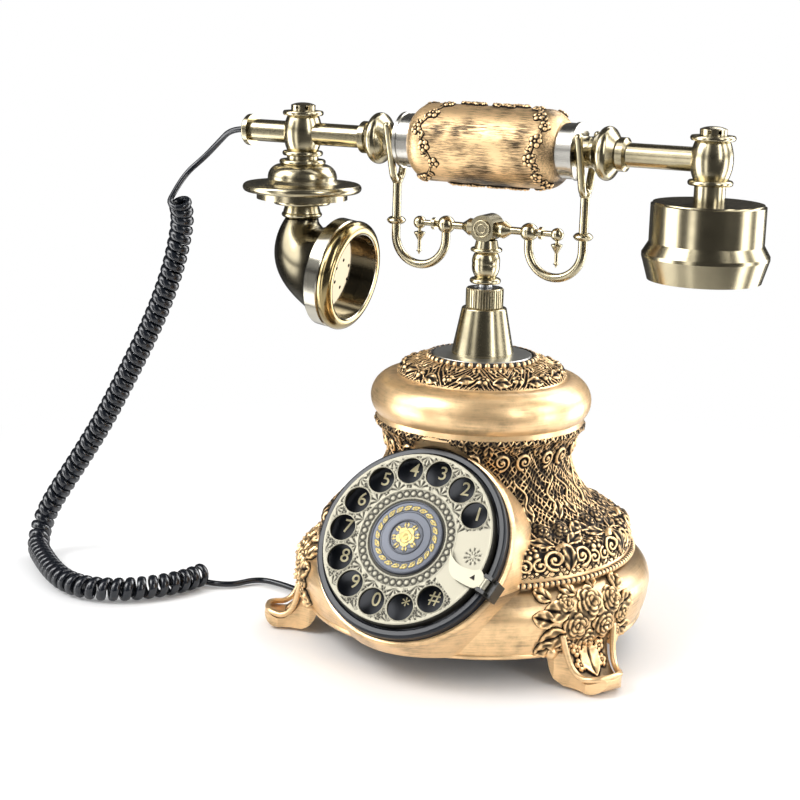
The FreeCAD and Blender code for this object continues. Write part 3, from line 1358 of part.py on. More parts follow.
COIL_ROUTE = [
    (-169.5, -11.4, 203.6), (-170.5, -5, 196), (-174, -6, 176), (-179, -6.5, 160), (-186, -7, 143),
    (-194, -8.5, 126), (-204.5, -10, 106), (-218, -12, 81), (-233, -14, 57.5), (-249.1, -15.7, 34),
    (-255.9, -16.2, 22.3),
    (-256.3, -21.4, 12.6), (-251.4, -29.1, 6.6), (-240.6, -38.7, 6.6), (-222, -54, 6.6), (-203, -66, 6.6),
    (-185, -68, 6.6), (-168, -59, 6.6), (-157, -44, 6.6), (-151, -30, 6.6), (-149.5, -17, 6.6),
]
CURL_EASE = 0.11
LEAD_RUN = 11.5
HANDSET_LEAD = [(-144.5, 0, 240.8), (-154.5, 3, 233), (-164, 4, 224.5)]
BASE_LEAD = [(-128, 1.5, 2.2), (-112, 1, 2.2), (-94, -5, 2.2), (-62, -6.5, 2.2)]


def axis_curve(points):
    """The smooth line that the curls wind about: the points are its control points."""
    curve = Part.BSplineCurve()
    spans = len(points) - 2
    curve.buildFromPolesMultsKnots([Vector(*p) for p in points], [3] + [1] * (spans - 1) + [3],
                                   list(range(spans + 1)), False, 2)
    return curve


def wound_points(curve, turns, radius, ease, first):
    """Places and directions, a quarter turn apart, of a left-hand helix about a curve."""
    count = int(round(turns * 4))
    fine = 40 * count
    line = curve.discretize(fine + 1)
    total = curve.length()
    forward = [(line[min(i + 1, fine)] - line[max(i - 1, 0)]).normalize() for i in range(fine + 1)]
    side = forward[0].cross(Vector(0, -1, 0)).cross(forward[0]).normalize()
    across = []
    for direction in forward:
        side = (side - direction * side.dot(direction)).normalize()
        across.append((side, direction.cross(side)))

    def phase(share):
        return first - 2 * math.pi * turns * (share * (1 + ease) - ease * share * share)

    def spot(i):
        angle = phase(i / fine)
        u, v = across[i]
        return line[i] + (u * math.cos(angle) + v * math.sin(angle)) * radius

    wanted = [phase(0) + (phase(1) - phase(0)) * k / count for k in range(count + 1)]
    places, directions = [], []
    i = 0
    for angle in wanted:
        while i < fine and phase(i / fine) > angle + 1e-9:
            i += 1
        places.append(spot(i))
        directions.append((spot(min(i + 1, fine)) - spot(max(i - 1, 0))).normalize())
    return places, directions, total


def biarc(start, start_way, end, end_way):
    """Two tangent arcs from one place and direction to the next."""
    span = end - start
    ways = start_way + end_way
    a = 2 * (1 - start_way.dot(end_way))
    b = 2 * span.dot(ways)
    c = -span.dot(span)
    reach = (-b + math.sqrt(b * b - 4 * a * c)) / (2 * a)
    middle = (start + start_way * reach + end - end_way * reach) * 0.5
    arcs = []
    for p, corner, q in ((start, start + start_way * reach, middle), (middle, end - end_way * reach, end)):
        weight = (q - p).Length / (2 * reach)
        arcs.append(Part.Arc(p, (p + corner * (2 * weight) + q) * (1 / (2 + 2 * weight)), q))
    return arcs


def least_self_gap(places, diameter, skip):
    """The least distance between two stretches of one tube, surface to surface."""
    least = float("inf")
    for i, p in enumerate(places):
        for q in places[i + skip:i + 12 * skip]:
            least = min(least, (q - p).Length)
    return least - diameter


def wound_tube(places, directions, diameter):
    """A round tube along biarcs, with a straight end of one diameter each way."""
    edges = [Part.LineSegment(places[0] - directions[0] * diameter, places[0])]
    for i in range(len(places) - 1):
        edges += biarc(places[i], directions[i], places[i + 1], directions[i + 1])
    edges.append(Part.LineSegment(places[-1], places[-1] + directions[-1] * diameter))
    wire = Part.Wire([edge.toShape() for edge in edges])
    first = edges[0]
    ring = Part.Wire([Part.Circle(first.StartPoint, directions[0], diameter / 2).toShape()])
    tube = wire.makePipeShell([ring], True, False)
    samples = [edge.value(edge.FirstParameter + (edge.LastParameter - edge.FirstParameter) * t)
               for edge in edges[1:-1] for t in (0.0, 0.5)]
    return tube, wire.Length, samples


def rounded_tube(points, diameter, label):
    """A round tube of straight runs joined by tangent arcs, each as large as its two runs allow."""
    corners = [Vector(*p) if isinstance(p, tuple) else p for p in points]
    here = corners[0]
    edges, radii = [], []
    for before, corner, after in zip(corners, corners[1:], corners[2:]):
        arriving, leaving = corner - before, after - corner
        turn = arriving.getAngle(leaving)
        first_room = arriving.Length * (0.95 if before is corners[0] else 0.48)
        last_room = leaving.Length * (0.95 if after is corners[-1] else 0.48)
        setback = min(first_room, last_room)
        radii.append(setback / math.tan(turn / 2))
        enter = corner - arriving.normalize() * setback
        leave = corner + leaving.normalize() * setback
        weight = math.cos(turn / 2)
        edges.append(Part.LineSegment(here, enter))
        middle = (enter + corner * (2 * weight) + leave) * (1 / (2 + 2 * weight))
        edges.append(Part.Arc(enter, middle, leave))
        here = leave
    edges.append(Part.LineSegment(here, corners[-1]))
    wire = Part.Wire([edge.toShape() for edge in edges])
    start_way = (corners[1] - corners[0]).normalize()
    ring = Part.Wire([Part.Circle(corners[0], start_way, diameter / 2).toShape()])
    tube = wire.makePipeShell([ring], True, False)
    print(label, "bend radii", [round(r, 1) for r in radii], "length", round(wire.Length, 1),
          "volume share", round(tube.Volume / (wire.Length * math.pi * diameter ** 2 / 4), 4))
    return tube


def cord_pieces():
    """The handset cord: a plain lead, the curls and a plain lead to the base."""
    diameter = number_of("cord_diameter")
    places, directions, run = wound_points(axis_curve(COIL_ROUTE), number_of("curl_count"),
                                           number_of("curl_radius"), CURL_EASE, 0.5 * math.pi)
    curls, length, samples = wound_tube(places, directions, diameter)
    print("cord curls: axis", round(run, 1), "wire", round(length, 1), "least gap",
          round(least_self_gap(samples, diameter, 8), 2),
          "volume share", round(curls.Volume / (length * math.pi * diameter ** 2 / 4), 4))
    top = places[0] - directions[0] * diameter
    foot_end = places[-1] + directions[-1] * diameter
    handset_end = Vector(-number_of("cord_end_x"), 0, number_of("handset_height"))
    grommet_foot = ("-inlet_x", "-inlet_y", "apron_height - grommet_collar")
    grommet = Vector(*(number_of(size) for size in grommet_foot))
    before_curls, after_curls = top - directions[0] * LEAD_RUN, foot_end + directions[-1] * LEAD_RUN
    upper = rounded_tube([handset_end] + HANDSET_LEAD + [before_curls, top], diameter, "handset lead")
    lower = rounded_tube([foot_end, after_curls] + BASE_LEAD + [grommet], diameter, "base lead")
    return [("cord_handset_lead", upper), ("cord_curls", curls), ("cord_base_lead", lower)]


def cradle_spring():
    """The spring that lifts the cradle when the handset is taken off."""
    wire = number_of("spring_wire")
    radius = number_of("(plunger_radius + counterbore_radius) / 2")
    low = number_of(SPRING_SEAT) + wire / 2 + number_of("seat_gap")
    high = number_of(PLUNGER_COLLAR) - wire / 2 - number_of("seat_gap")
    axis = Part.LineSegment(Vector(0, 0, low), Vector(0, 0, high))
    places, directions, run = wound_points(axis, number_of("spring_turns"), radius, 0.0, 0.0)
    tube, length, samples = wound_tube(places, directions, wire)
    print("cradle spring least gap", round(least_self_gap(samples, wire, 8), 2))
    return shaped("cradle_spring", tube)


def build():
    makers = [
        base_casting, foot_pads, bottom_plate, bottom_screws, circuit_board, ringer_speaker, line_jack,
        cord_grommet, column_flange, column_cone, knurled_collar, guide_tube, column_nut, switch_bracket,
        hook_switch, switch_button, cradle_stem, plunger_rod, plunger_clip, cradle_hub, cradle_spring,
        core_tube, grip_sleeve, cap_nuts, mouthpiece_skirt, horn_elbow, horn_rim, horn_grille, microphone,
        earpiece_cup, earpiece_cap, receiver,
        dial_bezel, dial_dish, dial_frame, dial_screws, finger_wheel, centre_badge, dial_shaft, main_gear,
        governor_spindle, return_spring, stop_block, finger_stop,
    ]
    for make in makers:
        node(make(), make.__name__)
    node(end_ring(), "cord_end_ring")
    node(stop_rod("stop_pin", "pin_radius", "stop_width"), "stop_pin")
    for label, side in (("left", "-1"), ("right", "1")):
        node(arm(label + "_arm", side), label + "_arm")
        node(hook(label + "_hook", side), label + "_hook")
        node(ferrule(label + "_ferrule", side), label + "_ferrule")
        node(neck(label + "_neck", side), label + "_neck")
    node(group("pendants", [pendant("left_pendant", "-1"), pendant("right_pendant", "1")]), "pendants")
    skirt_top = TEE_FOOT + " - tee_ring_height - 2"
    node(tee("mouthpiece_tee", "-mouth_tee_x", skirt_top, "skirt_neck_radius", True), "mouthpiece_tee")
    node(tee("earpiece_tee", "ear_tee_x", "cup_top_height", "ear_neck_radius", False), "earpiece_tee")
    for label, shape in cord_pieces():
        node(shaped(label, shape), label)


def check():
    doc.recompute()
    for obj in doc.Objects:
        if "Invalid" in obj.State or "Error" in obj.State:
            raise RuntimeError(f"{obj.Name} failed: {obj.State}")
    for piece in nodes:
        if piece.Shape.isNull() or not piece.Shape.isValid() or not piece.Shape.Solids:
            raise RuntimeError(f"{piece.Label} has no sound solid")


build()
check()
os.makedirs("parts", exist_ok=True)
for piece in nodes:
    piece.Shape.exportStep(f"parts/{piece.Label}.step")
print(len(nodes), "pieces")
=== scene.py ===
import math
import random

import bmesh
import bpy
import numpy as np
from bpy.props import FloatProperty, FloatVectorProperty, PointerProperty
from mathutils import Matrix, Vector


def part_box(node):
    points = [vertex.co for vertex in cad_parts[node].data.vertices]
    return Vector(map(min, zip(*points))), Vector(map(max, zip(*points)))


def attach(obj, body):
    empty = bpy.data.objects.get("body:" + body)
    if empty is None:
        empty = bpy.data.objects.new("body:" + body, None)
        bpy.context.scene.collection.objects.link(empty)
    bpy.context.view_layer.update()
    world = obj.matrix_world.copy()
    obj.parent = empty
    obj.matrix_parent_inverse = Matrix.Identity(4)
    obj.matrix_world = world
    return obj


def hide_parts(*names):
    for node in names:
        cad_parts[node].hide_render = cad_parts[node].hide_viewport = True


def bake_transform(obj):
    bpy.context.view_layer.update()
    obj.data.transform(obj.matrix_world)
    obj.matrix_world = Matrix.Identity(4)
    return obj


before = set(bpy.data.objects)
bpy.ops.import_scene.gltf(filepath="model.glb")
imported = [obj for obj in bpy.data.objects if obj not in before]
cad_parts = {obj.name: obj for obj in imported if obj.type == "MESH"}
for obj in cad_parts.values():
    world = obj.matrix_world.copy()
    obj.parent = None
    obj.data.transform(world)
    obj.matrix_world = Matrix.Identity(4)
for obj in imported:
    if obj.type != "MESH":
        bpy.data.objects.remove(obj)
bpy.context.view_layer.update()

bl_info = {
    "name": "Rotary Telephone",
    "version": (1, 0, 0),
    "blender": (4, 5, 0),
    "location": "View3D > Sidebar > Telephone",
    "description": "Finishes, ornament, dial figures and curly cord of an antique-style rotary telephone",
    "category": "Object",
}

MM = 0.001
FULL_TURN = 2 * math.pi
QUARTER_TURN = math.pi / 2

# Dial frame: x to the right, y up the dial, z out of its face, origin on the wheel's face.
DIAL_TILT = math.radians(36)
DIAL_CENTRE = Vector((0, -75.5, 67.7)) * MM
DIAL_FRAME = Matrix.Translation(DIAL_CENTRE) @ Matrix.Rotation(QUARTER_TURN - DIAL_TILT, 4, "X")
DIAL_NORMAL = Vector((0, -math.cos(DIAL_TILT), math.sin(DIAL_TILT)))
DIAL_ORIGIN, DIAL_TURN = np.array(DIAL_CENTRE) / MM, np.array(DIAL_FRAME.to_3x3())

# Finger holes: radius of their circle and of a hole in millimetres, first angle and pitch in degrees.
HOLE_CIRCLE, HOLE_RADIUS, HOLE_FIRST, HOLE_PITCH = 33.2, 6.6, 28.7, 25.4
HOLE_ANGLES = [math.radians(HOLE_FIRST + HOLE_PITCH * k) for k in range(12)]
HOLES = [(HOLE_CIRCLE * math.cos(angle), HOLE_CIRCLE * math.sin(angle)) for angle in HOLE_ANGLES]

# Figures: shift from the middle of their hole and height above the wheel's face, in millimetres.
FIGURES = "1234567890*#"
FIGURE_SHIFT, FIGURE_LIFT = (-1.5, 2.8), -7.05

# Key: its angle on the dial in degrees, and the arrow's place along it, in metres.
KEY_ANGLE, KEY_MARK = -19, Vector((40.6, -0.2, 2.7)) * MM

# Outline of the base: radius and height in millimetres.
APRON, BAND, SHOULDER, WAIST, STEP = (81.6, 15.8), (86, 30), (72, 61), (44.5, 90), (48.5, 106.8)
LIP = (50.5, 107.8), (50.5, 109.8)
DOME_EDGE, DOME_TOP = (41.5, 131), (25, 139)

# Dial housing: radius at its lip and back, depths under the wheel's face between which it flares, and how far
# inside its wall ornament may still begin, in millimetres.
HOUSING_LIP, HOUSING_BACK, HOUSING_ROUND, HOUSING_DEPTH, HOUSING_MARGIN = 48.4, 54.0, 12.0, 62.0, 0.6

# Directions of the feet from the column, in degrees.
FOOT_AZIMUTHS = (-27, -153, 90)

# Swellings of the solid casting under the ornament: rise, width, and depth of their middle, in millimetres.
ROSE_MOUND, SCROLL_MOUND, BUD_MOUND, MOUND_DEPTH = (2.9, 6.5), (2.6, 5.4), (2.5, 4.1), 1.5

# Heights on the base between which painted shade darkens the gilt towards the row of beads, in metres.
SHADE_FOOT, BEAD_FOOT = 37 * MM, 47.2 * MM

# Radius of the horn's mouth behind its rolled rim, in metres, and how far its axis dips.
HORN_BORE, HORN_DIP = 21.5 * MM, math.radians(8)

# Grip: half length, length and end radius of its rounded ends, radius, and the handset's height,
# in millimetres.
GRIP_REACH, GRIP_ROUND, GRIP_END, GRIP_RADIUS, HANDSET_HEIGHT = 37.5, 9.0, 14.0, 18.5, 240.8

# Radius of the cradle's hub, in millimetres.
HUB_RADIUS = 6.4

# Route of the curly cord's axis and of its two plain ends, in metres.
COIL_ROUTE = [
    (-0.1695, -0.0114, 0.2036), (-0.1705, -0.005, 0.196), (-0.174, -0.006, 0.176),
    (-0.179, -0.0065, 0.160), (-0.186, -0.007, 0.143), (-0.194, -0.0085, 0.126),
    (-0.2045, -0.010, 0.106), (-0.218, -0.012, 0.081), (-0.233, -0.014, 0.0575),
    (-0.2491, -0.0157, 0.034), (-0.2559, -0.0162, 0.0223), (-0.2563, -0.0214, 0.0126),
    (-0.2514, -0.0291, 0.0066), (-0.2406, -0.0387, 0.0066), (-0.222, -0.054, 0.0066),
    (-0.203, -0.066, 0.0066), (-0.185, -0.068, 0.0066), (-0.168, -0.059, 0.0066),
    (-0.157, -0.044, 0.0066), (-0.151, -0.030, 0.0066), (-0.1495, -0.017, 0.0066),
]
HANDSET_LEAD = [(-0.1345, 0, 0.2408), (-0.1445, 0, 0.2408), (-0.1545, 0.003, 0.233), (-0.164, 0.004, 0.2245)]
BASE_LEAD = [(-0.128, 0.0015, 0.0022), (-0.112, 0.001, 0.0022), (-0.094, -0.005, 0.0022),
             (-0.062, -0.0065, 0.0022), (-0.062, -0.0065, 0.0146)]

# Curls: their count, their radius in metres, and how much closer they lie at the handset's end.
CURL_COUNT, CURL_RADIUS, CURL_EASE = 66.81, 4.65 * MM, 0.11

# Plain ends: how far they run straight on from the curls, and their gap to the last curl, in metres.
LEAD_RUN, CURL_STUB = 11.5 * MM, 3.4 * MM

# Points round a curl, along the axis of the curls and along a plain end.
CURL_STEPS, CURL_SAMPLES, LEAD_STEPS = 20, 10721, 60

# Camera of the photograph: place, view direction, right and up; lens and sensor width in millimetres.
CAMERA_PLACE = (0.33760, -0.74346, 0.30483)
CAMERA_FORWARD = (-0.44511, 0.86676, -0.22497)
CAMERA_RIGHT = (0.88639, 0.46217, 0.02687)
CAMERA_UP = (-0.12726, 0.18745, 0.97400)
CAMERA_LENS, CAMERA_SENSOR = 77.23, 36


def linear(hex_value):
    """Turn an sRGB hex colour to linear red, green and blue."""
    parts = [int(hex_value[i:i + 2], 16) / 255 for i in (1, 3, 5)]
    return tuple(c / 12.92 if c <= 0.04045 else ((c + 0.055) / 1.055) ** 2.4 for c in parts)


def colour_property(name, description, hex_value):
    return FloatVectorProperty(name=name, description=description, subtype="COLOR", size=3, min=0, max=1,
                               default=linear(hex_value))


def length_property(name, description, default, low, high):
    """A length, with its default and limits in millimetres."""
    return FloatProperty(name=name, description=description, default=default * MM, min=low * MM,
                         max=high * MM, unit="LENGTH")


class TelephoneColours(bpy.types.PropertyGroup):
    """Colours of the telephone's finishes."""
    gilt: colour_property("Gilt", "Satin gold paint on the cast resin", "#F2CC98")
    patina: colour_property("Patina", "Dark wash left in the recesses of the resin", "#120B07")
    brass: colour_property("Antique brass", "Bronzed brass of the column, cradle and handset", "#B9AE90")
    plate: colour_property("Wheel plate", "Grey champagne plate of the finger wheel", "#8E8A7B")
    slate: colour_property("Slate", "Bezel of the dial", "#13171E")
    figures: colour_property("Figures", "Cream figures behind the finger holes", "#E8DCB2")
    cord: colour_property("Cord", "Glossy blue-black cord", "#12161D")


class TelephoneSizes(bpy.types.PropertyGroup):
    """Sizes of the ornament and the cord."""
    cord_width: length_property("Cord width", "Width of the flat cord along the coil", 4.8, 2, 6)
    cord_thickness: length_property("Cord thickness", "Thickness of the flat cord across the coil", 3.0, 1, 5)
    lead_diameter: length_property("Lead diameter", "Diameter of the cord's plain ends", 3.0, 2, 5)
    relief: length_property("Relief", "Height of the filigree on the waist and the dome", 1.9, 0, 4)
    figure_height: length_property("Figure size", "Font size of the dial's figures", 9.4, 2, 12)


def colours():
    return bpy.context.scene.telephone_colours


# Materials

def add_node(tree, kind, inputs=None, **settings):
    """Add a shader node with its settings; each input is a value or another node's output."""
    node = tree.nodes.new("ShaderNode" + kind)
    for key, value in settings.items():
        setattr(node, key, value)
    for key, value in (inputs or {}).items():
        if isinstance(value, bpy.types.NodeSocket):
            tree.links.new(value, node.inputs[key])
        else:
            node.inputs[key].default_value = value
    return node


def result(tree, kind, inputs=None, output=0, **settings):
    """Add a shader node and give one of its outputs."""
    return add_node(tree, kind, inputs, **settings).outputs[output]


def maths(tree, operation, *terms):
    """The result of a maths node, whose terms are numbers or other nodes' outputs."""
    return result(tree, "Math", dict(enumerate(terms)), operation=operation)


def vector_maths(tree, operation, output, *terms):
    """One output of a vector maths node, whose terms are vectors or other nodes' outputs."""
    return result(tree, "VectorMath", dict(enumerate(terms)), output, operation=operation)


def multiplied(tree, first, second):
    """The product of two colours."""
    return result(tree, "Mix", {"Factor": 1.0, "A": first, "B": second}, "Result", data_type="RGBA",
                  blend_type="MULTIPLY")


def new_material(name, base=(0.5, 0.5, 0.5), metallic=0.0, roughness=0.5, **more):
    """A Principled material; further sockets are given by name with spaces as underscores."""
    material = bpy.data.materials.new(name)
    material.use_nodes = True
    shader = material.node_tree.nodes["Principled BSDF"]
    values = {"Base_Color": (*base, 1), "Metallic": metallic, "Roughness": roughness, **more}
    for key, value in values.items():
        shader.inputs[key.replace("_", " ")].default_value = value
    return material, material.node_tree, shader


def wire(tree, shader, **sockets):
    """Link outputs to a shader's sockets, given by name with spaces as underscores."""
    for key, socket in sockets.items():
        tree.links.new(socket, shader.inputs[key.replace("_", " ")])


def ramp(tree, fac, stops):
    """A colour ramp with (position, colour) stops; a number stands for a grey."""
    node = add_node(tree, "ValToRGB", {"Fac": fac})
    elements = node.color_ramp.elements
    while len(elements) < len(stops):
        elements.new(0.5)
    for element, (position, colour) in zip(elements, stops):
        element.position = position
        element.color = (*((colour,) * 3 if isinstance(colour, float) else colour), 1)
    return node.outputs["Color"]


def shade(colour, factor):
    return tuple(min(1.0, c * factor) for c in colour)


def object_point(tree):
    return result(tree, "TexCoord", output="Object")


def relief_level(tree):
    """The relief kept on a carved piece, from 0 in its hollows to 1 on its high parts."""
    return result(tree, "Attribute", output="Fac", attribute_name="relief")


def noise(tree, point, grain, detail, roughness=0.5):
    """Noise with a grain in millimetres: one size, or one for each axis."""
    scale = 1.0
    if isinstance(grain, tuple):
        point = result(tree, "Mapping", {"Vector": point, "Scale": [1 / (size * MM) for size in grain]})
    else:
        scale = 1 / (grain * MM)
    inputs = {"Vector": point, "Scale": scale, "Detail": detail, "Roughness": roughness}
    return result(tree, "TexNoise", inputs)


def bump(tree, height, strength, depth):
    """Fine unevenness, with its depth in millimetres."""
    return result(tree, "Bump", {"Height": height, "Strength": strength, "Distance": depth * MM})


def gilded_resin():
    """Cast resin sprayed with satin gold and rubbed round with a dark wash: cream highlights, brown streaks,
    and painted shade that darkens the gilt under the row of beads."""
    gilt = colours().gilt
    material, tree, shader = new_material("gilded_resin", gilt, metallic=0.75, roughness=0.36,
                                          Coat_Weight=0.4, Coat_Roughness=0.26)
    point = object_point(tree)
    cloud = noise(tree, point, 14, 5, 0.6)
    streaks = noise(tree, point, (16, 16, 0.9), 4, 0.65)
    wear = maths(tree, "MULTIPLY_ADD", streaks, 0.5, cloud)
    tint = ramp(tree, wear, [(0.5, shade(gilt, 0.45)), (0.66, shade(gilt, 0.8)), (0.8, gilt),
                             (1.0, shade(gilt, 1.1))])
    # Painted shade on the shoulder: the gilt darkens going up from SHADE_FOOT to just under the row of beads.
    height = result(tree, "SeparateXYZ", {"Vector": point}, "Z")
    under = result(tree, "MapRange", {"Value": height, "From Min": SHADE_FOOT, "From Max": BEAD_FOOT})
    wash = ramp(tree, under, [(0.0, 1.0), (0.7, 0.5), (0.98, 0.3), (1.0, 1.0)])
    wire(tree, shader, Base_Color=multiplied(tree, tint, wash),
         Roughness=ramp(tree, wear, [(0.55, 0.42), (0.95, 0.3)]), Normal=bump(tree, streaks, 0.06, 0.1))
    return material


def carved_resin():
    """The same resin where it is carved: the wash stays dark in the hollows, and the high
    parts are rubbed bright."""
    look = colours()
    material, tree, shader = new_material("carved_resin", look.gilt, roughness=0.38, Specular_IOR_Level=0.2)
    cloud = noise(tree, object_point(tree), 5, 4, 0.6)
    level = maths(tree, "ADD", maths(tree, "MULTIPLY_ADD", cloud, 0.3, -0.15), relief_level(tree))
    tint = ramp(tree, level, [(0.48, look.patina), (0.66, shade(look.gilt, 0.22)), (0.81, look.gilt),
                              (0.97, shade(look.gilt, 1.1))])
    wire(tree, shader, Base_Color=tint, Metallic=ramp(tree, level, [(0.46, 0.0), (0.72, 0.75)]),
         Roughness=ramp(tree, level, [(0.44, 0.75), (0.72, 0.34)]))
    return material


def weathered_grip():
    """Gold paint on the grip, brushed lengthwise with a dark wash: fine streaks."""
    gilt = colours().gilt
    material, tree, shader = new_material("weathered_grip", gilt, metallic=0.75, roughness=0.4)
    point = object_point(tree)
    streaks = noise(tree, point, (6, 0.45, 0.45), 6, 0.75)
    wash = maths(tree, "MULTIPLY_ADD", noise(tree, point, 17, 2), 0.9, streaks)
    tint = ramp(tree, wash, [(0.78, shade(gilt, 0.05)), (0.86, shade(gilt, 0.35)), (0.97, shade(gilt, 0.7)),
                             (1.1, shade(gilt, 0.95))])
    wire(tree, shader, Base_Color=tint, Normal=bump(tree, streaks, 0.25, 0.3))
    return material


def antique_brass(name="antique_brass", axis="Z", roughness=0.22, depth=1.0):
    """Bronzed, lacquered brass from a lathe: dark reflections, cream highlights, fine turning marks."""
    brass = shade(colours().brass, depth)
    material, tree, shader = new_material(name, brass, metallic=1.0, roughness=roughness)
    point = object_point(tree)
    marks = noise(tree, point, tuple(0.5 if letter == axis else 6 for letter in "XYZ"), 3)
    wire(tree, shader,
         Base_Color=ramp(tree, noise(tree, point, 9, 3), [(0.3, shade(brass, 0.78)), (0.7, brass)]),
         Roughness=ramp(tree, marks, [(0.3, roughness * 0.92), (0.7, roughness * 1.1)]),
         Normal=bump(tree, marks, 0.025, 0.1))
    return material


def worn_plate(name, stops, metallic, roughness):
    """A stamped plate whose colour follows the stamping: dark in the lines, bright on the high parts."""
    material, tree, shader = new_material(name, stops[-1][1], metallic=metallic, roughness=roughness)
    wire(tree, shader, Base_Color=ramp(tree, relief_level(tree), stops))
    return material


def wheel_plate():
    """Champagne plated zinc, stamped with foliage: an olive wash stays in the stamped lines."""
    plate = colours().plate
    stops = [(0.1, shade(plate, 0.1)), (0.5, shade(plate, 0.55)), (0.8, plate)]
    return worn_plate("wheel_plate", stops, 0.7, 0.45)


def badge_plate():
    """Slate-grey lacquer with dull gold on what stands out of it."""
    stops = ((0.05, "#1E1D1A"), (0.4, "#50535B"), (0.58, "#575A62"), (0.7, "#BBA86A"))
    return worn_plate("badge_plate", [(level, linear(hex_value)) for level, hex_value in stops], 0.5, 0.42)


def horn_gold():
    """Polished yellow brass for the horn's rolled rim, with a silver band behind it and a silver bore."""
    gold, silver = linear("#9C8B63"), linear("#C6C1B2")
    material, tree, shader = new_material("horn_gold", gold, metallic=1.0, roughness=0.16)
    point = object_point(tree)
    axis = Vector((math.cos(HORN_DIP), 0, -math.sin(HORN_DIP)))
    low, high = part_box("horn_rim")
    centre = (low + high) / 2
    along = vector_maths(tree, "DOT_PRODUCT", "Value", point, axis)
    behind = maths(tree, "LESS_THAN", along, centre.dot(axis) + 0.6 * MM)
    beside = vector_maths(tree, "CROSS_PRODUCT", "Vector",
                          vector_maths(tree, "SUBTRACT", "Vector", point, centre), axis)
    bore = maths(tree, "LESS_THAN", vector_maths(tree, "LENGTH", "Value", beside), HORN_BORE + 0.4 * MM)
    silvered = maths(tree, "MAXIMUM", behind, bore)
    wire(tree, shader, Base_Color=ramp(tree, silvered, [(0.0, gold), (1.0, silver)]))
    return material


def slate_enamel():
    """Satin blue-black enamel: a soft grey edge light on a dark ring."""
    return new_material("slate_enamel", colours().slate, roughness=0.3, Specular_IOR_Level=0.35)[0]


def glowing_figure_paint():
    """Cream paint with a faint painted glow, so that it still reads in the shade of the finger holes."""
    cream = colours().figures
    # Painted light: a faint glow in the figures' own cream, though they give no light.
    return new_material("glowing_figure_paint", cream, roughness=0.6, Emission_Color=(*cream, 1),
                        Emission_Strength=0.12)[0]


def cord_plastic():
    """Moulded PVC: glossy, almost black, slightly blue."""
    return new_material("cord_plastic", colours().cord, roughness=0.2, IOR=1.5, Specular_IOR_Level=0.6)[0]


# Even finishes: the real material, its colour, how metallic it is and its roughness.
EVEN_FINISHES = {
    "silver": ("spun_silver", "#BDBCB8", 1.0, 0.36),
    "bright": ("polished_nickel", "#C4C1B9", 1.0, 0.24),
    "steel": ("bright_steel", "#B4B5B6", 1.0, 0.3),
    "grille": ("polished_disc", "#6A604A", 1.0, 0.08),
    "key": ("key_plate", "#9C9887", 0.7, 0.45),
    "enamel": ("slate_lacquer", "#50535B", 0.35, 0.4),
    "dish": ("dish_plastic", "#171B24", 0.0, 0.6),
    "black": ("black_plastic", "#15140F", 0.0, 0.4),
    "rubber": ("black_rubber", "#121212", 0.0, 0.75),
    "painted": ("black_paint", "#1A1A1C", 0.0, 0.45),
    "board": ("board_green", "#1F5A34", 0.0, 0.5),
    "pale": ("pale_plastic", "#D9D6CC", 0.0, 0.4),
    "wash": ("dark_wash", "#1A110B", 0.0, 0.7),
}

MATERIALS = {}


def make_materials():
    """Make every finish, by the key that the pieces ask for."""
    MATERIALS.update(
        gilt=gilded_resin(),
        carved=carved_resin(),
        grip=weathered_grip(),
        brass=antique_brass(),
        brass_long=antique_brass("antique_brass_long", axis="X"),
        brushed=antique_brass("brushed_brass", roughness=0.19, depth=0.85),
        bronze=antique_brass("dark_bronze", roughness=0.2, depth=0.34),
        plate=wheel_plate(),
        badge=badge_plate(),
        gold=horn_gold(),
        slate=slate_enamel(),
        figures=glowing_figure_paint(),
        cord=cord_plastic(),
    )
    for key, (name, hex_value, metallic, roughness) in EVEN_FINISHES.items():
        MATERIALS[key] = new_material(name, linear(hex_value), metallic, roughness)[0]


# The solids that have each finish.
NODE_FINISH = {
    "gilt": ["base_casting"],
    "grip": ["grip_sleeve"],
    "brass": ["column_cone", "knurled_collar", "cradle_stem", "cradle_hub", "left_hook", "right_hook",
              "pendants", "mouthpiece_tee", "earpiece_tee", "cap_nuts", "mouthpiece_skirt", "main_gear",
              "governor_spindle"],
    "brass_long": ["left_arm", "right_arm", "core_tube", "left_neck", "right_neck", "cord_end_ring"],
    "bright": ["left_ferrule", "right_ferrule"],
    "brushed": ["earpiece_cup", "earpiece_cap"],
    "bronze": ["horn_elbow"],
    "gold": ["horn_rim"],
    "silver": ["column_flange"],
    "slate": ["dial_bezel"],
    "dish": ["dial_dish"],
    "key": ["finger_stop"],
    "plate": ["finger_wheel"],
    "enamel": ["centre_badge"],
    "black": ["stop_block", "hook_switch", "line_jack", "microphone", "receiver", "ringer_speaker"],
    "rubber": ["foot_pads", "cord_grommet"],
    "painted": ["bottom_plate"],
    "board": ["circuit_board"],
    "pale": ["switch_button"],
    "grille": ["horn_grille"],
    "steel": ["bottom_screws", "guide_tube", "column_nut", "switch_bracket", "cradle_spring", "dial_frame",
              "dial_screws", "return_spring", "stop_pin", "dial_shaft", "plunger_rod", "plunger_clip"],
    "cord": ["cord_handset_lead", "cord_curls", "cord_base_lead"],
}


# Meshes

def new_mesh(name, bm):
    """Turn a bmesh into a mesh."""
    mesh = bpy.data.meshes.new(name)
    bm.to_mesh(mesh)
    bm.free()
    return mesh


def place_object(name, data):
    """Put a mesh, curve, lamp or camera in the scene."""
    obj = bpy.data.objects.new(name, data)
    bpy.context.scene.collection.objects.link(obj)
    return obj


def finish_piece(name, bm, finish, body):
    """Turn a bmesh into a smooth piece with a finish; it rides on a body, if one is named."""
    bmesh.ops.recalc_face_normals(bm, faces=bm.faces[:])
    mesh = new_mesh(name, bm)
    mesh.shade_smooth()
    mesh.materials.append(MATERIALS[finish])
    obj = place_object(name, mesh)
    if body:
        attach(obj, body)
    return obj


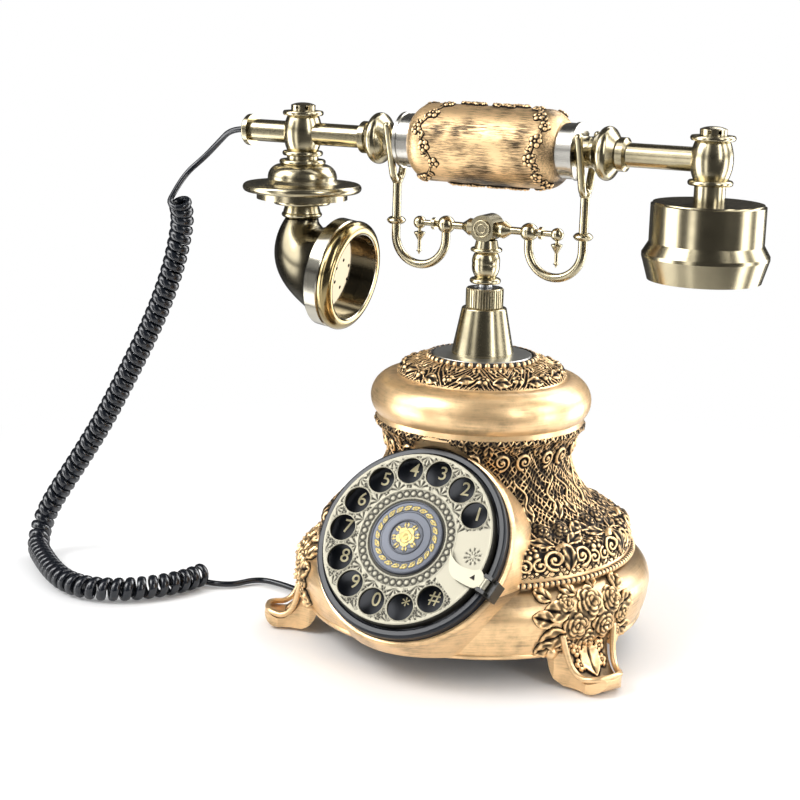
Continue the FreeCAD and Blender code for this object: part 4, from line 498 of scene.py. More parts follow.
def take_in(bm, mesh):
    """Add a mesh to a bmesh and drop the mesh."""
    bm.from_mesh(mesh)
    bpy.data.meshes.remove(mesh)


def polar(radius, angle, x=0.0, y=0.0):
    """The place at a radius and angle from another place."""
    return x + radius * math.cos(angle), y + radius * math.sin(angle)


def arc(start, end, bow, count):
    """Points of an arc whose rise is bow times its chord, to the left of the way from start to end."""
    start, end = np.array(start, float), np.array(end, float)
    chord = end - start
    left = np.array((-chord[1], chord[0]))
    centre = (start + end) / 2 - left * (1 - 4 * bow * bow) / (8 * bow)
    first = start - centre
    points = []
    for share in np.arange(count + 1) / count:
        c, s = polar(1, -4 * math.atan(2 * bow) * share)
        points.append((centre[0] + first[0] * c - first[1] * s, centre[1] + first[0] * s + first[1] * c))
    return points


def round_spots(count, radius, x=0.0, y=0.0, turn=0.0):
    """Places spread evenly round a circle, each with its angle."""
    for k in range(count):
        angle = turn + FULL_TURN * k / count
        yield *polar(radius, angle, x, y), angle


class Carving:
    """A map of heights that ornament is stamped into; it may wrap round in its first direction.

    Its sides and cells are in millimetres; one that goes round the base is stretched to fit."""
    STEP, WEAR_REACH = 0.25, 1.4

    def __init__(self, width, height, wraps=False, ground=0.0):
        self.width, self.height, self.wraps = width, height, wraps
        self.columns, self.rows = int(round(width / self.STEP)), int(round(height / self.STEP)) + 1
        self.map = np.full((self.rows, self.columns), ground)

    def places(self):
        return np.meshgrid(np.arange(self.columns) * self.STEP, np.arange(self.rows) * self.STEP)

    def window(self, x, y, reach):
        """Index arrays and offsets of the cells within reach of a place."""
        cols = np.arange(int((x - reach) / self.STEP) - 1, int((x + reach) / self.STEP) + 2)
        rows = np.arange(int((y - reach) / self.STEP) - 1, int((y + reach) / self.STEP) + 2)
        rows = rows[(rows >= 0) & (rows < self.rows)]
        if not self.wraps:
            cols = cols[(cols >= 0) & (cols < self.columns)]
        dx, dy = np.meshgrid(cols * self.STEP - x, rows * self.STEP - y)
        return np.ix_(rows, cols % self.columns), dx, dy

    def set_where(self, mask, height):
        self.map = np.where(mask, height, self.map)

    def raise_to(self, cells, height):
        self.map[cells] = np.maximum(self.map[cells], height)

    def dome(self, x, y, radius, height):
        cells, dx, dy = self.window(x, y, radius)
        self.raise_to(cells, height * np.sqrt(np.clip(1 - (dx * dx + dy * dy) / radius ** 2, 0, 1)))

    def dip(self, x, y, radius, height):
        """Lower a round spot to a height."""
        cells, dx, dy = self.window(x, y, radius)
        inside = (dx * dx + dy * dy) < radius ** 2
        self.map[cells] = np.where(inside, np.minimum(self.map[cells], height), self.map[cells])

    def stroke(self, points, start_radius, end_radius, height):
        """A rounded rib along points, tapering from one radius to another."""
        for (x, y), radius in zip(points, np.linspace(start_radius, end_radius, len(points))):
            self.dome(x, y, radius, height)

    def scroll(self, x, y, radius, turns, angle, hand, rib, height):
        """A spiral that winds in to a round eye."""
        count = int(14 * turns * radius)
        points = [polar(radius * (1 - 0.85 * i / count), angle + hand * FULL_TURN * turns * i / count, x, y)
                  for i in range(count)]
        self.stroke(points, rib, rib * 0.7, height)
        self.dome(x, y, rib * 1.3, height)

    def leaf(self, x, y, length, width, angle, height):
        """A pointed leaf with a groove along its middle and side veins."""
        cells, dx, dy = self.window(x, y, length)
        along = (dx * math.cos(angle) + dy * math.sin(angle)) / length
        across = (-dx * math.sin(angle) + dy * math.cos(angle)) / width
        half = np.sin(np.clip(along, 0, 1) * math.pi) ** 0.8
        inside = (along > 0) & (along < 1) & (np.abs(across) < half)
        veins = 0.12 * np.cos((along * 14 - np.abs(across) * 4))
        body = 0.62 + 0.3 * np.abs(across) - 0.32 * np.exp(-(across / 0.14) ** 2) + veins
        self.raise_to(cells, np.where(inside, height * body, 0))

    def flower(self, x, y, radius, height, turn):
        """An open flower with five petals and a round centre."""
        for across, up, _ in round_spots(5, 0.58 * radius, x, y, turn):
            self.dome(across, up, radius * 0.44, height * 0.85)
        self.dip(x, y, radius * 0.3, height * 0.3)
        self.dome(x, y, radius * 0.24, height)

    def rose(self, x, y, radius, height, turn):
        """A full rose: rings of overlapping petals, each raised at its outer edge."""
        rings = ((6, 0.62, 0.46, 0.5), (5, 0.4, 0.38, 0.7), (4, 0.22, 0.28, 0.86), (2, 0.08, 0.17, 1.0))
        for layer, (count, reach, petal, level) in enumerate(rings):
            for across, up, angle in round_spots(count, reach * radius, x, y, turn + layer * 0.6):
                cells, dx, dy = self.window(across, up, petal * radius)
                inside = dx * dx + dy * dy < (petal * radius) ** 2
                outward = (dx * math.cos(angle) + dy * math.sin(angle)) / (petal * radius)
                self.raise_to(cells, np.where(inside, height * level * (0.7 + 0.3 * outward), 0))
        self.dip(x, y, radius * 0.06, height * 0.6)

    def mound(self, x, y, form, stretch):
        """A swelling like the solid's under the sheet, in millimetres, with a little to spare.

        stretch is how much of the carving's width a millimetre takes there."""
        rise, width = form
        cells, dx, dy = self.window(x, y, width * max(1, stretch))
        share = np.clip(1 - ((dx / stretch) ** 2 + dy ** 2) / width ** 2, 0, 1)
        self.raise_to(cells, rise * np.sqrt(share) - MOUND_DEPTH + 0.25)

    def hatch(self, spacing, patch, height):
        """Close parallel threads that lean one way and then the other from patch to patch."""
        x, y = self.places()
        patches = 2 * max(1, round(self.width / patch / 2))
        lean = np.where(np.floor(x * patches / self.width) % 2, 0.6, -0.8)
        threads = np.cos(FULL_TURN * (x + lean * y + 0.3 * np.sin(x * 0.7)) / spacing)
        self.map = np.maximum(self.map, height * np.clip(threads * 1.2 - 0.2, 0, 1))

    def net(self, spacing, height):
        """A lattice of crossing threads, drawn unevenly."""
        x, y = self.places()
        phase = math.pi * max(1, round(self.width / spacing)) / self.width
        wave = FULL_TURN / self.width
        across = x + 0.5 * np.sin(y * 0.9) + 0.6 * np.sin(x * wave * 23)
        up = y + 0.5 * np.sin(x * wave * 41) + 0.4 * np.sin(x * wave * 17 + y * 0.6)
        threads = np.maximum(np.abs(np.cos(phase * (across + up))), np.abs(np.cos(phase * (across - up))))
        uneven = 0.8 + 0.4 * np.sin(x * wave * 29 + y * 0.3) * np.sin(y * 0.45 + 2 * np.sin(x * wave * 13))
        self.map = np.maximum(self.map, height * uneven * np.clip(threads * 2.8 - 1.8, 0, 1))

    def blurred(self, reach):
        """The map averaged over a square with that reach."""
        cells = int(reach / self.STEP)
        span = 2 * cells + 1
        blur = self.map
        for axis in (0, 1):
            margin = [(0, 0), (0, 0)]
            margin[axis] = (cells + 1, cells)
            padded = np.pad(blur, margin, mode="wrap" if self.wraps and axis else "edge")
            total = np.moveaxis(np.cumsum(padded, axis=axis), axis, 0)
            blur = np.moveaxis((total[span:] - total[:-span]) / span, 0, axis)
        return blur

    def wear(self, rubbed=0.0):
        """A carving from 0 in the hollows to 1 on what stands out of its surroundings or is rubbed clean."""
        worn = Carving(self.width, self.height, self.wraps)
        standing_out = self.map - self.blurred(self.WEAR_REACH)
        worn.map = np.clip(0.42 + rubbed + 1.5 * standing_out + 0.2 * self.map, 0, 1)
        return worn

    def sample(self, x, y):
        """Heights at places, blended between cells."""
        fx, fy = x / self.STEP, np.clip(y / self.STEP, 0, self.rows - 1.001)
        ix, iy = np.floor(fx).astype(int), np.floor(fy).astype(int)
        tx, ty = fx - ix, fy - iy
        if self.wraps:
            left, right = ix % self.columns, (ix + 1) % self.columns
        else:
            left, right = np.clip(ix, 0, self.columns - 1), np.clip(ix + 1, 0, self.columns - 1)
        upper = np.minimum(iy + 1, self.rows - 1)
        low = self.map[iy, left] * (1 - tx) + self.map[iy, right] * tx
        high = self.map[upper, left] * (1 - tx) + self.map[upper, right] * tx
        return low * (1 - ty) + high * ty


def laid_grid(columns, rows, lay):
    """A bmesh grid whose points lay(u, v) puts in place, in metres, with u and v from 0 to 1.

    Where lay gives a second array, it is kept on the points as "relief"."""
    bm = bmesh.new()
    bmesh.ops.create_grid(bm, x_segments=columns, y_segments=rows, size=0.5)
    flat = np.array([v.co[:2] for v in bm.verts]) + 0.5
    places, relief = lay(flat[:, 0], flat[:, 1])
    for vert, place in zip(bm.verts, places):
        vert.co = place
    if relief is not None:
        layer = bm.verts.layers.float.new("relief")
        for vert, level in zip(bm.verts, relief):
            vert[layer] = level
    return bm, places


def drop_where(bm, hidden):
    """Take the marked points out of a bmesh."""
    bmesh.ops.delete(bm, geom=[vert for vert, out in zip(bm.verts, hidden) if out], context="VERTS")


def relief_sheet(name, columns, rows, lay, finish, body, gone=None):
    """A fine grid laid over a surface and raised by a carving.

    lay(u, v) gives places, outward directions and heights in millimetres, and relief from 0 in the hollows.
    gone(places) marks the places where there is no sheet."""
    def lay_raised(u, v):
        places, outward, heights, relief = lay(u, v)
        return (places + outward * heights[:, None]) * MM, relief

    bm, places = laid_grid(columns, rows, lay_raised)
    if gone is not None:
        drop_where(bm, gone(places / MM))
    bmesh.ops.remove_doubles(bm, verts=bm.verts[:], dist=0.02 * MM)
    finish_piece(name, bm, finish, body)


def unit(vectors):
    return vectors / np.linalg.norm(vectors, axis=-1)[..., None]


def tube(line, wide, width, thickness, sides=10):
    """A closed tube of oval section along a line; wide is the way of the section's width at each point."""
    forward = unit(np.gradient(line, axis=0))
    across = unit(np.cross(wide, forward))
    wide = unit(np.cross(forward, across))
    width, thickness = np.broadcast_to(width, len(line)), np.broadcast_to(thickness, len(line))

    def lay(u, v):
        index = np.rint(v * (len(line) - 1)).astype(int)
        turn = u * FULL_TURN
        sideways = wide[index] * (np.cos(turn) * width[index] / 2)[:, None]
        upward = across[index] * (np.sin(turn) * thickness[index] / 2)[:, None]
        return line[index] + sideways + upward, None

    bm, _ = laid_grid(sides, len(line) - 1, lay)
    bmesh.ops.remove_doubles(bm, verts=bm.verts[:], dist=0.001 * MM)
    bmesh.ops.holes_fill(bm, edges=[e for e in bm.edges if e.is_boundary], sides=0)
    return bm


def add_ring(bm, radius, thick, steps, place, sides=8):
    """A ring of round wire, with sizes in millimetres, in the x-y plane of a placing matrix."""
    earlier = set(bm.verts)
    standing = Matrix.Translation((radius * MM, 0, 0)) @ Matrix.Rotation(QUARTER_TURN, 4, "X")
    section = bmesh.ops.create_circle(bm, segments=sides, radius=thick * MM, matrix=standing)["verts"]
    edges = list({edge for vert in section for edge in vert.link_edges})
    bmesh.ops.spin(bm, geom=section + edges, cent=(0, 0, 0), axis=(0, 0, 1), angle=FULL_TURN, steps=steps,
                   use_merge=True)
    bmesh.ops.transform(bm, matrix=place, verts=[vert for vert in bm.verts if vert not in earlier])


def shift(x, y, z):
    """A move in millimetres."""
    return Matrix.Translation(Vector((x, y, z)) * MM)


def add_ball(bm, place, radius):
    bmesh.ops.create_uvsphere(bm, u_segments=10, v_segments=7, radius=radius * MM, matrix=shift(*place))


def distances(points):
    """How far along a line each of its points is."""
    return np.concatenate([[0], np.cumsum(np.linalg.norm(np.diff(points, axis=0), axis=1))])


def read_off(wanted, known, rows):
    """Rows of numbers at wanted distances, blended between the rows at known distances."""
    return np.stack([np.interp(wanted, known, column) for column in np.transpose(rows)], axis=-1)


def along_profile(points):
    """A turned outline's length, after a function of the distance along it.

    That function gives radius, height, and the outward direction in both."""
    points = np.array(points)
    distance = distances(points)
    tangent = unit(np.gradient(points, distance, axis=0))
    outline = np.column_stack([points, tangent[:, 1], -tangent[:, 0]])

    def at(wanted):
        return read_off(wanted, distance, outline).T
    return at, distance[-1]


def turned_lay(at, length, carving, height, start=0.0, sweep=FULL_TURN, sunk=None, mounds=None, rubbed=0.0):
    """Lay a carving round the column's axis from a start angle: u goes round, v along the outline.

    Where sunk is given, the ground lies that deep under the surface and only the ornament comes out.
    Where mounds is given, the carving lies over those swellings."""
    worn = carving.wear(rubbed=rubbed)

    def lay(u, v):
        r, z, nr, nz = at(v * length)
        turn = start + u * sweep
        cos, sin = np.cos(turn), np.sin(turn)
        places = np.stack([r * cos, r * sin, z], axis=1)
        outward = np.stack([nr * cos, nr * sin, nz], axis=1)
        x, y = (u if sunk is not None else turn / FULL_TURN) * carving.width, v * carving.height
        heights = carving.sample(x, y) * height
        if sunk is not None:
            heights = heights - sunk
        else:
            edge = np.clip(np.minimum(v, 1 - v) * length / 0.8, 0, 1)
            heights = 0.1 + heights * edge - (1 - edge) * 0.4
        if mounds is not None:
            heights = heights + mounds.sample(x, y)
        return places, outward, heights, worn.sample(x, y)
    return lay


def in_housing(places):
    """True where a place in millimetres is inside the dial housing's flared wall, apart from its margin."""
    offset = places - DIAL_ORIGIN
    lift = offset @ np.array(DIAL_NORMAL)
    reach = np.linalg.norm(offset - lift[:, None] * np.array(DIAL_NORMAL), axis=1)
    back = np.clip((-lift - HOUSING_ROUND) / (HOUSING_DEPTH - HOUSING_ROUND), 0, 1)
    wall = HOUSING_LIP + (HOUSING_BACK - HOUSING_LIP) * back
    return (reach < wall - HOUSING_MARGIN) & (places[:, 1] < 0)


def disc_lay(carving, inner, outer, lift, height):
    """Lay a square carving on the dial as a ring; lift(r) and height are in millimetres over the wheel."""
    def lay(u, v):
        r, angle = inner + (outer - inner) * v, u * FULL_TURN
        x, y = r * np.cos(angle), r * np.sin(angle)
        level = carving.sample(x + carving.width / 2, y + carving.width / 2)
        places = np.stack([x, y, lift(r)], axis=1) @ DIAL_TURN.T + DIAL_ORIGIN
        return places, np.tile(DIAL_TURN[:, 2], (len(x), 1)), level * height, level
    return lay


def route(points, count):
    """Evenly spaced places on a smooth spline whose control points are given."""
    curve = bpy.data.curves.new("route", "CURVE")
    curve.dimensions = "3D"
    spline = curve.splines.new("NURBS")
    spline.points.add(len(points) - 1)
    for target, point in zip(spline.points, points):
        target.co = (*point, 1)
    spline.order_u = 3
    spline.use_endpoint_u = True
    spline.resolution_u = 40
    holder = bpy.data.objects.new("route", curve)
    mesh = bpy.data.meshes.new_from_object(holder)
    places = np.array([v.co for v in mesh.vertices])
    bpy.data.objects.remove(holder)
    bpy.data.curves.remove(curve)
    bpy.data.meshes.remove(mesh)
    distance = distances(places)
    return read_off(np.linspace(0, distance[-1], count), distance, places)


def curl_line():
    """The wire of the curls: a left-hand helix about the route, and the axis direction beside each point."""
    fine = route(COIL_ROUTE, CURL_SAMPLES)
    forward = unit(np.gradient(fine, axis=0))
    side = unit(np.cross(np.cross(forward[0], (0, -1, 0)), forward[0]))
    sides = np.zeros_like(fine)
    for i, way in enumerate(forward):
        side = unit(side - way * side.dot(way))
        sides[i] = side
    share = np.linspace(0, 1, len(fine))
    phase = FULL_TURN * (CURL_COUNT * (share * (1 + CURL_EASE) - CURL_EASE * share ** 2) - 0.25)
    round_axis = sides * np.cos(phase)[:, None] - np.cross(forward, sides) * np.sin(phase)[:, None]
    wire_line = fine + CURL_RADIUS * round_axis
    wanted = np.linspace(phase[0], phase[-1], int(CURL_COUNT * CURL_STEPS) + 1)
    return read_off(wanted, phase, wire_line), unit(read_off(wanted, phase, forward))


# Operators

class TELEPHONE_OT_finishes(bpy.types.Operator):
    """Give every solid of the telephone its finish"""
    bl_idname = "telephone.finishes"
    bl_label = "Finishes"

    def execute(self, context):
        make_materials()
        for finish, names in NODE_FINISH.items():
            for name in names:
                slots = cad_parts[name].data.materials
                slots.clear()
                slots.append(MATERIALS[finish])
        return {"FINISHED"}


class TELEPHONE_OT_cord(bpy.types.Operator):
    """Wind the curly cord and lay its two plain ends"""
    bl_idname = "telephone.cord"
    bl_label = "Cord"

    def execute(self, context):
        size = context.scene.telephone_sizes
        curls, axis = curl_line()
        start_way = unit(3 * curls[0] - 4 * curls[1] + curls[2])
        end_way = unit(3 * curls[-1] - 4 * curls[-2] + curls[-3])
        top, foot = curls[0] + start_way * CURL_STUB, curls[-1] + end_way * CURL_STUB
        upper = route(HANDSET_LEAD + [tuple(top + start_way * LEAD_RUN), tuple(top)], LEAD_STEPS)
        lower = route([tuple(foot), tuple(foot + end_way * LEAD_RUN)] + BASE_LEAD, LEAD_STEPS)
        line = np.concatenate([upper, curls, lower])
        wide = np.concatenate([np.tile(axis[0], (LEAD_STEPS, 1)), axis, np.tile(axis[-1], (LEAD_STEPS, 1))])
        ends = np.minimum(np.arange(len(line)), np.arange(len(line))[::-1])
        flatness = np.clip((ends - LEAD_STEPS) / CURL_STEPS, 0, 1)
        width = size.lead_diameter + (size.cord_width - size.lead_diameter) * flatness
        thickness = size.lead_diameter + (size.cord_thickness - size.lead_diameter) * flatness
        cord = finish_piece("handset_cord", tube(line, wide, width, thickness), "cord", None)
        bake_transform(cord)
        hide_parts("cord_handset_lead", "cord_curls", "cord_base_lead")
        return {"FINISHED"}


class TELEPHONE_OT_figures(bpy.types.Operator):
    """Set the plain figures on the dish behind the finger holes"""
    bl_idname = "telephone.figures"
    bl_label = "Dial figures"

    # Half the figures' thickness, and how much bolder than the font they are.
    HALF_DEPTH, BOLDER = 0.12 * MM, 0.02 * MM

    def execute(self, context):
        bm = bmesh.new()
        for sign, (x, y) in zip(FIGURES, HOLES):
            curve = bpy.data.curves.new("figure", "FONT")
            curve.body = sign
            curve.size = context.scene.telephone_sizes.figure_height
            curve.align_x, curve.align_y = "CENTER", "CENTER"
            curve.extrude = self.HALF_DEPTH
            curve.offset = self.BOLDER
            holder = place_object("figure", curve)
            mesh = bpy.data.meshes.new_from_object(holder.evaluated_get(context.evaluated_depsgraph_get()))
            mesh.transform(DIAL_FRAME @ shift(x + FIGURE_SHIFT[0], y + FIGURE_SHIFT[1], FIGURE_LIFT))
            take_in(bm, mesh)
            bpy.data.objects.remove(holder)
            bpy.data.curves.remove(curve)
        finish_piece("dial_figures", bm, "figures", "base")
        return {"FINISHED"}


class TELEPHONE_OT_waist(bpy.types.Operator):
    """Carve the filigree on the waist and the dome of the base, with its rows of beads"""
    bl_idname = "telephone.waist"
    bl_label = "Waist and dome filigree"

    # Rows of beads: how many, radius of their circle, height and bead radius.
    BEAD_ROWS = ((42, 25.8, DOME_TOP[1] + 0.5, 1.75), (170, 77.3, 48.4, 1.5))
    # Places of the ornament's belts along the waist's outline, in millimetres.
    LOW_BELT, MIDDLE_BELT, CREST_BELOW_LIP = 9, 24, 13.2

    def execute(self, context):
        relief = context.scene.telephone_sizes.relief / MM
        self.waist(relief, random.Random(7))
        self.dome(relief, random.Random(9))
        self.beads()
        return {"FINISHED"}

    def beads(self):
        """Rows of beads in a dark groove, with none inside the dial's housing."""
        beads, grooves = bmesh.new(), bmesh.new()
        for count, circle, height, bead in self.BEAD_ROWS:
            for x, y, _ in round_spots(count, circle):
                if not in_housing(np.array([(x, y, height)]))[0]:
                    add_ball(beads, (x, y, height), bead)
            groove_place = shift(0, 0, height + 0.1 * bead)
            add_ring(grooves, circle - 0.15 * bead, 0.85 * bead, 180, groove_place, sides=10)
        finish_piece("bead_rows", beads, "gilt", "base")
        drop_where(grooves, in_housing(np.array([vert.co for vert in grooves.verts]) / MM))
        finish_piece("bead_grooves", grooves, "wash", "base")

    def waist(self, relief, chance):
        """A net of threads with scrolls above the beads, roses and leaves round the middle, and scrolls and a
        fringe of leaves under the roll."""
        profile = arc((75.8, 50.5), SHOULDER, -0.05, 8)
        profile += arc(SHOULDER, WAIST, 0.13, 30)[1:] + arc(WAIST, STEP, 0.12, 10)[1:] + list(LIP)
        at, length = along_profile(profile)
        carving, mounds = Carving(360, length, wraps=True), Carving(360, length, wraps=True)
        carving.net(3.4, 0.6)
        crest, up, repeats = length - self.CREST_BELOW_LIP, QUARTER_TURN, 12

        def swell(x, y, form):
            mounds.mound(x, y, form, carving.width / (FULL_TURN * float(at(y)[0])))

        for k in range(repeats):
            x = carving.width / repeats * k
            swell(x, self.LOW_BELT, ROSE_MOUND)
            carving.leaf(x, 2, 12, 3.0, up, 0.85)
            carving.flower(x + carving.width / repeats / 2, 12, 4.0, 1.0, chance.uniform(0, 1))
            carving.leaf(x, length - 2, 10, 2.8, -up, 0.95)
            for hand in (1, -1):
                carving.scroll(x + hand * 6, 8, 4.4, 1.6, -1.6, hand, 0.9, 0.95)
                carving.scroll(x + hand * 12, 6, 3.0, 1.3, 1.6, -hand, 0.8, 0.9)
                carving.leaf(x + hand * 3, 15, 12, 3.2, up - hand * 1.1, 0.9)
                carving.leaf(x + hand * 9, 20, 11, 3.0, up - hand * 0.9, 0.9)
                carving.leaf(x + hand * 8, 30, 12, 3.0, up + hand * chance.uniform(-0.6, 0.3), 0.9)
                carving.rose(x + hand * 5, self.MIDDLE_BELT, 5.6, 0.95, chance.uniform(0, 3))
                swell(x + hand * 5, self.MIDDLE_BELT, SCROLL_MOUND)
                carving.stroke(self.tendril(x + hand * 6, 34, hand, chance), 1.0, 0.5, 0.85)
                carving.scroll(x + hand * 8, crest, 5.0, 1.5, -1.6, hand, 1.0, 0.9)
                swell(x + hand * 8, crest, SCROLL_MOUND)
                carving.leaf(x + hand * 13, length - 2, 9, 2.4, -up + hand * 0.5, 0.9)
        for k in range(2):
            lay = turned_lay(at, length, carving, relief, start=math.pi * k, sweep=math.pi, mounds=mounds)
            relief_sheet(f"waist_filigree_{k + 1}", 430, 158, lay, "carved", "base", in_housing)

    def tendril(self, x, y, hand, chance):
        """Points of a winding stem that climbs the waist."""
        sway, lean = chance.uniform(2, 4), chance.uniform(0.2, 0.5)
        return [(x + hand * (sway * math.sin(rise * 0.45) + lean * rise), y + rise)
                for rise in np.arange(0, 18, 0.4)]

    def dome(self, relief, chance):
        """Close hatched threads with leaves and flowers, and a fringe of leaves under the flange."""
        start, end = (DOME_EDGE[0] - 0.3, DOME_EDGE[1] + 0.1), (26.2, DOME_TOP[1] - 0.45)
        at, length = along_profile(arc(start, end, -0.08, 16))
        carving, mounds = Carving(216, length, wraps=True), Carving(216, length, wraps=True)
        carving.hatch(2.2, 13.5, 0.65)
        belt, repeats = 5.2, 14
        wide = carving.width / repeats
        stretch = carving.width / (FULL_TURN * float(at(belt)[0]))
        for k in range(repeats):
            x = wide * k
            carving.leaf(x - 4, 4, 8.5, 2.6, chance.uniform(-0.2, 0.5), 0.9)
            carving.flower(x + wide / 2, belt, 3.0, 0.9, chance.uniform(0, 1))
            for share in (0, 0.5):
                mounds.mound(x + wide * share, belt, BUD_MOUND, stretch)
            for share in (0.25, 0.75):
                angle = -QUARTER_TURN + chance.uniform(-0.4, 0.4)
                carving.leaf(x + wide * share, length - 1, 6.5, 2.2, angle, 0.95)
        lay = turned_lay(at, length, carving, relief * 0.8, mounds=mounds)
        relief_sheet("dome_filigree", 520, 48, lay, "carved", "base")


class TELEPHONE_OT_roses(bpy.types.Operator):
    """Carve roses and leaves on the band above each foot, and the rolled edges of the apron and the feet"""
    bl_idname = "telephone.roses"
    bl_label = "Rose clusters and foot edges"

    # Leaves of a cluster: across, up, length and angle. Roses: across, up and radius.
    LEAVES = ((-12, 21, 13, 2.8), (-13, 12, 14, 3.3), (-11, 4, 12, 3.7), (-6, 28, 10, 2.2), (19, 26, 11, 0.8),
              (20, 19, 11, 0.2), (20, 8, 11, -0.4), (9, 2, 9, -0.9), (6, 30, 9, 1.2), (-20, 27, 10, 2.6),
              (-20, 18, 11, 2.9), (-19, 8, 11, 3.5))
    ROSES = ((1, 24, 7.4), (-8, 15, 6.8), (8.5, 12.5, 6.8), (-1, 5.5, 5.8), (15, 23, 5.8), (-13, 25, 4.8),
             (17, 6, 4.8), (-12, 4.5, 4.8), (22, 15, 4.4))
    CLUSTER_WIDTH, CLUSTER_HEIGHT, CLUSTER_SUNK = 66.0, 5.2, 0.5
    # One side of a foot's rolled edge: outward from the column, across and up.
    FOOT_EDGE = ((85.6, 15.6, 27), (87.3, 14.2, 18), (90.4, 12.4, 10.5), (95, 10.8, 7.6), (99.5, 8.6, 8.4),
                 (102.6, 4.6, 9.1))
    # The scroll eye beside it, with its radius, and the width of the edge.
    SCROLL_EYE, EYE_RADIUS, EDGE_WIDTH = (81.5, 18.5, 18), 3.4, 3 * MM

    def execute(self, context):
        profile = arc((81.8, 16.6), BAND, -0.062, 10) + arc(BAND, (77, 45.5), -0.19, 14)[1:]
        at, length = along_profile(profile)
        middle, sweep = self.CLUSTER_WIDTH / 2, self.CLUSTER_WIDTH / BAND[0]
        for number, azimuth in enumerate(FOOT_AZIMUTHS):
            chance = random.Random(20 + number)
            carving = Carving(self.CLUSTER_WIDTH, length)
            for x, y, size, angle in self.LEAVES:
                carving.leaf(middle + x, y, size, size * 0.36, angle + chance.uniform(-0.2, 0.2), 0.7)
            for x, y, size in self.ROSES:
                carving.rose(middle + x, y, size, 0.7 + 0.04 * size, chance.uniform(0, 3))
            start = math.radians(azimuth) - sweep / 2
            lay = turned_lay(at, length, carving, self.CLUSTER_HEIGHT, start, sweep, sunk=self.CLUSTER_SUNK,
                             rubbed=0.13)
            relief_sheet(f"rose_cluster_{number + 1}", 220, 110, lay, "carved", "base")
            self.foot_leaf(number, math.radians(azimuth), chance)
        self.rolled_edges()
        return {"FINISHED"}

    def foot_leaf(self, number, azimuth, chance):
        """A veined leaf between four small flowers down the hollow face of a foot."""
        at, length = along_profile(arc((94.5, 6.2), (85.5, 26), 0.16, 16))
        carving = Carving(26, length)
        carving.leaf(13, 1, 17, 6.5, QUARTER_TURN, 0.9)
        for x, y in ((6, 15), (20, 15), (5.5, 8), (20.5, 8)):
            carving.flower(x, y, 3.4, 1.0, chance.uniform(0, 1))
        worn = carving.wear(rubbed=0.24)
        out, side = (*polar(1, azimuth), 0), (-math.sin(azimuth), math.cos(azimuth), 0)

        def lay(u, v):
            r, z, nr, nz = at(v * length)
            half = 9.5 + 4.5 * v
            places = np.outer(r, out) + np.outer((2 * u - 1) * half, side) + np.outer(z, (0, 0, 1))
            outward = np.outer(nr, out) + np.outer(nz, (0, 0, 1))
            x, y = u * carving.width, v * length
            return places, outward, carving.sample(x, y) * 1.6 - 0.3, worn.sample(x, y)
        relief_sheet(f"foot_leaf_{number + 1}", 80, 70, lay, "carved", "base")

    def rolled_edges(self):
        """A rolled bead round each foot, a lip along the apron's edge, and scroll eyes where they meet."""
        bm = bmesh.new()
        both = self.FOOT_EDGE + tuple((r, -across, z) for r, across, z in reversed(self.FOOT_EDGE))
        reach, beside, height = self.SCROLL_EYE
        for azimuth in FOOT_AZIMUTHS:
            turn = Matrix.Rotation(math.radians(azimuth), 4, "Z")
            line = route([turn @ (Vector(p) * MM) for p in both], 72)
            edge = tube(line, np.tile((0, 0, 1.0), (len(line), 1)), self.EDGE_WIDTH, self.EDGE_WIDTH, sides=8)
            take_in(bm, new_mesh("edge", edge))
            for hand in (1, -1):
                add_ball(bm, turn @ Vector((reach, hand * beside, height)), self.EYE_RADIUS)
        add_ring(bm, APRON[0], 1.5, 120, shift(0, 0, APRON[1] + 0.9), sides=10)
        finish_piece("rolled_edges", bm, "gilt", "base")


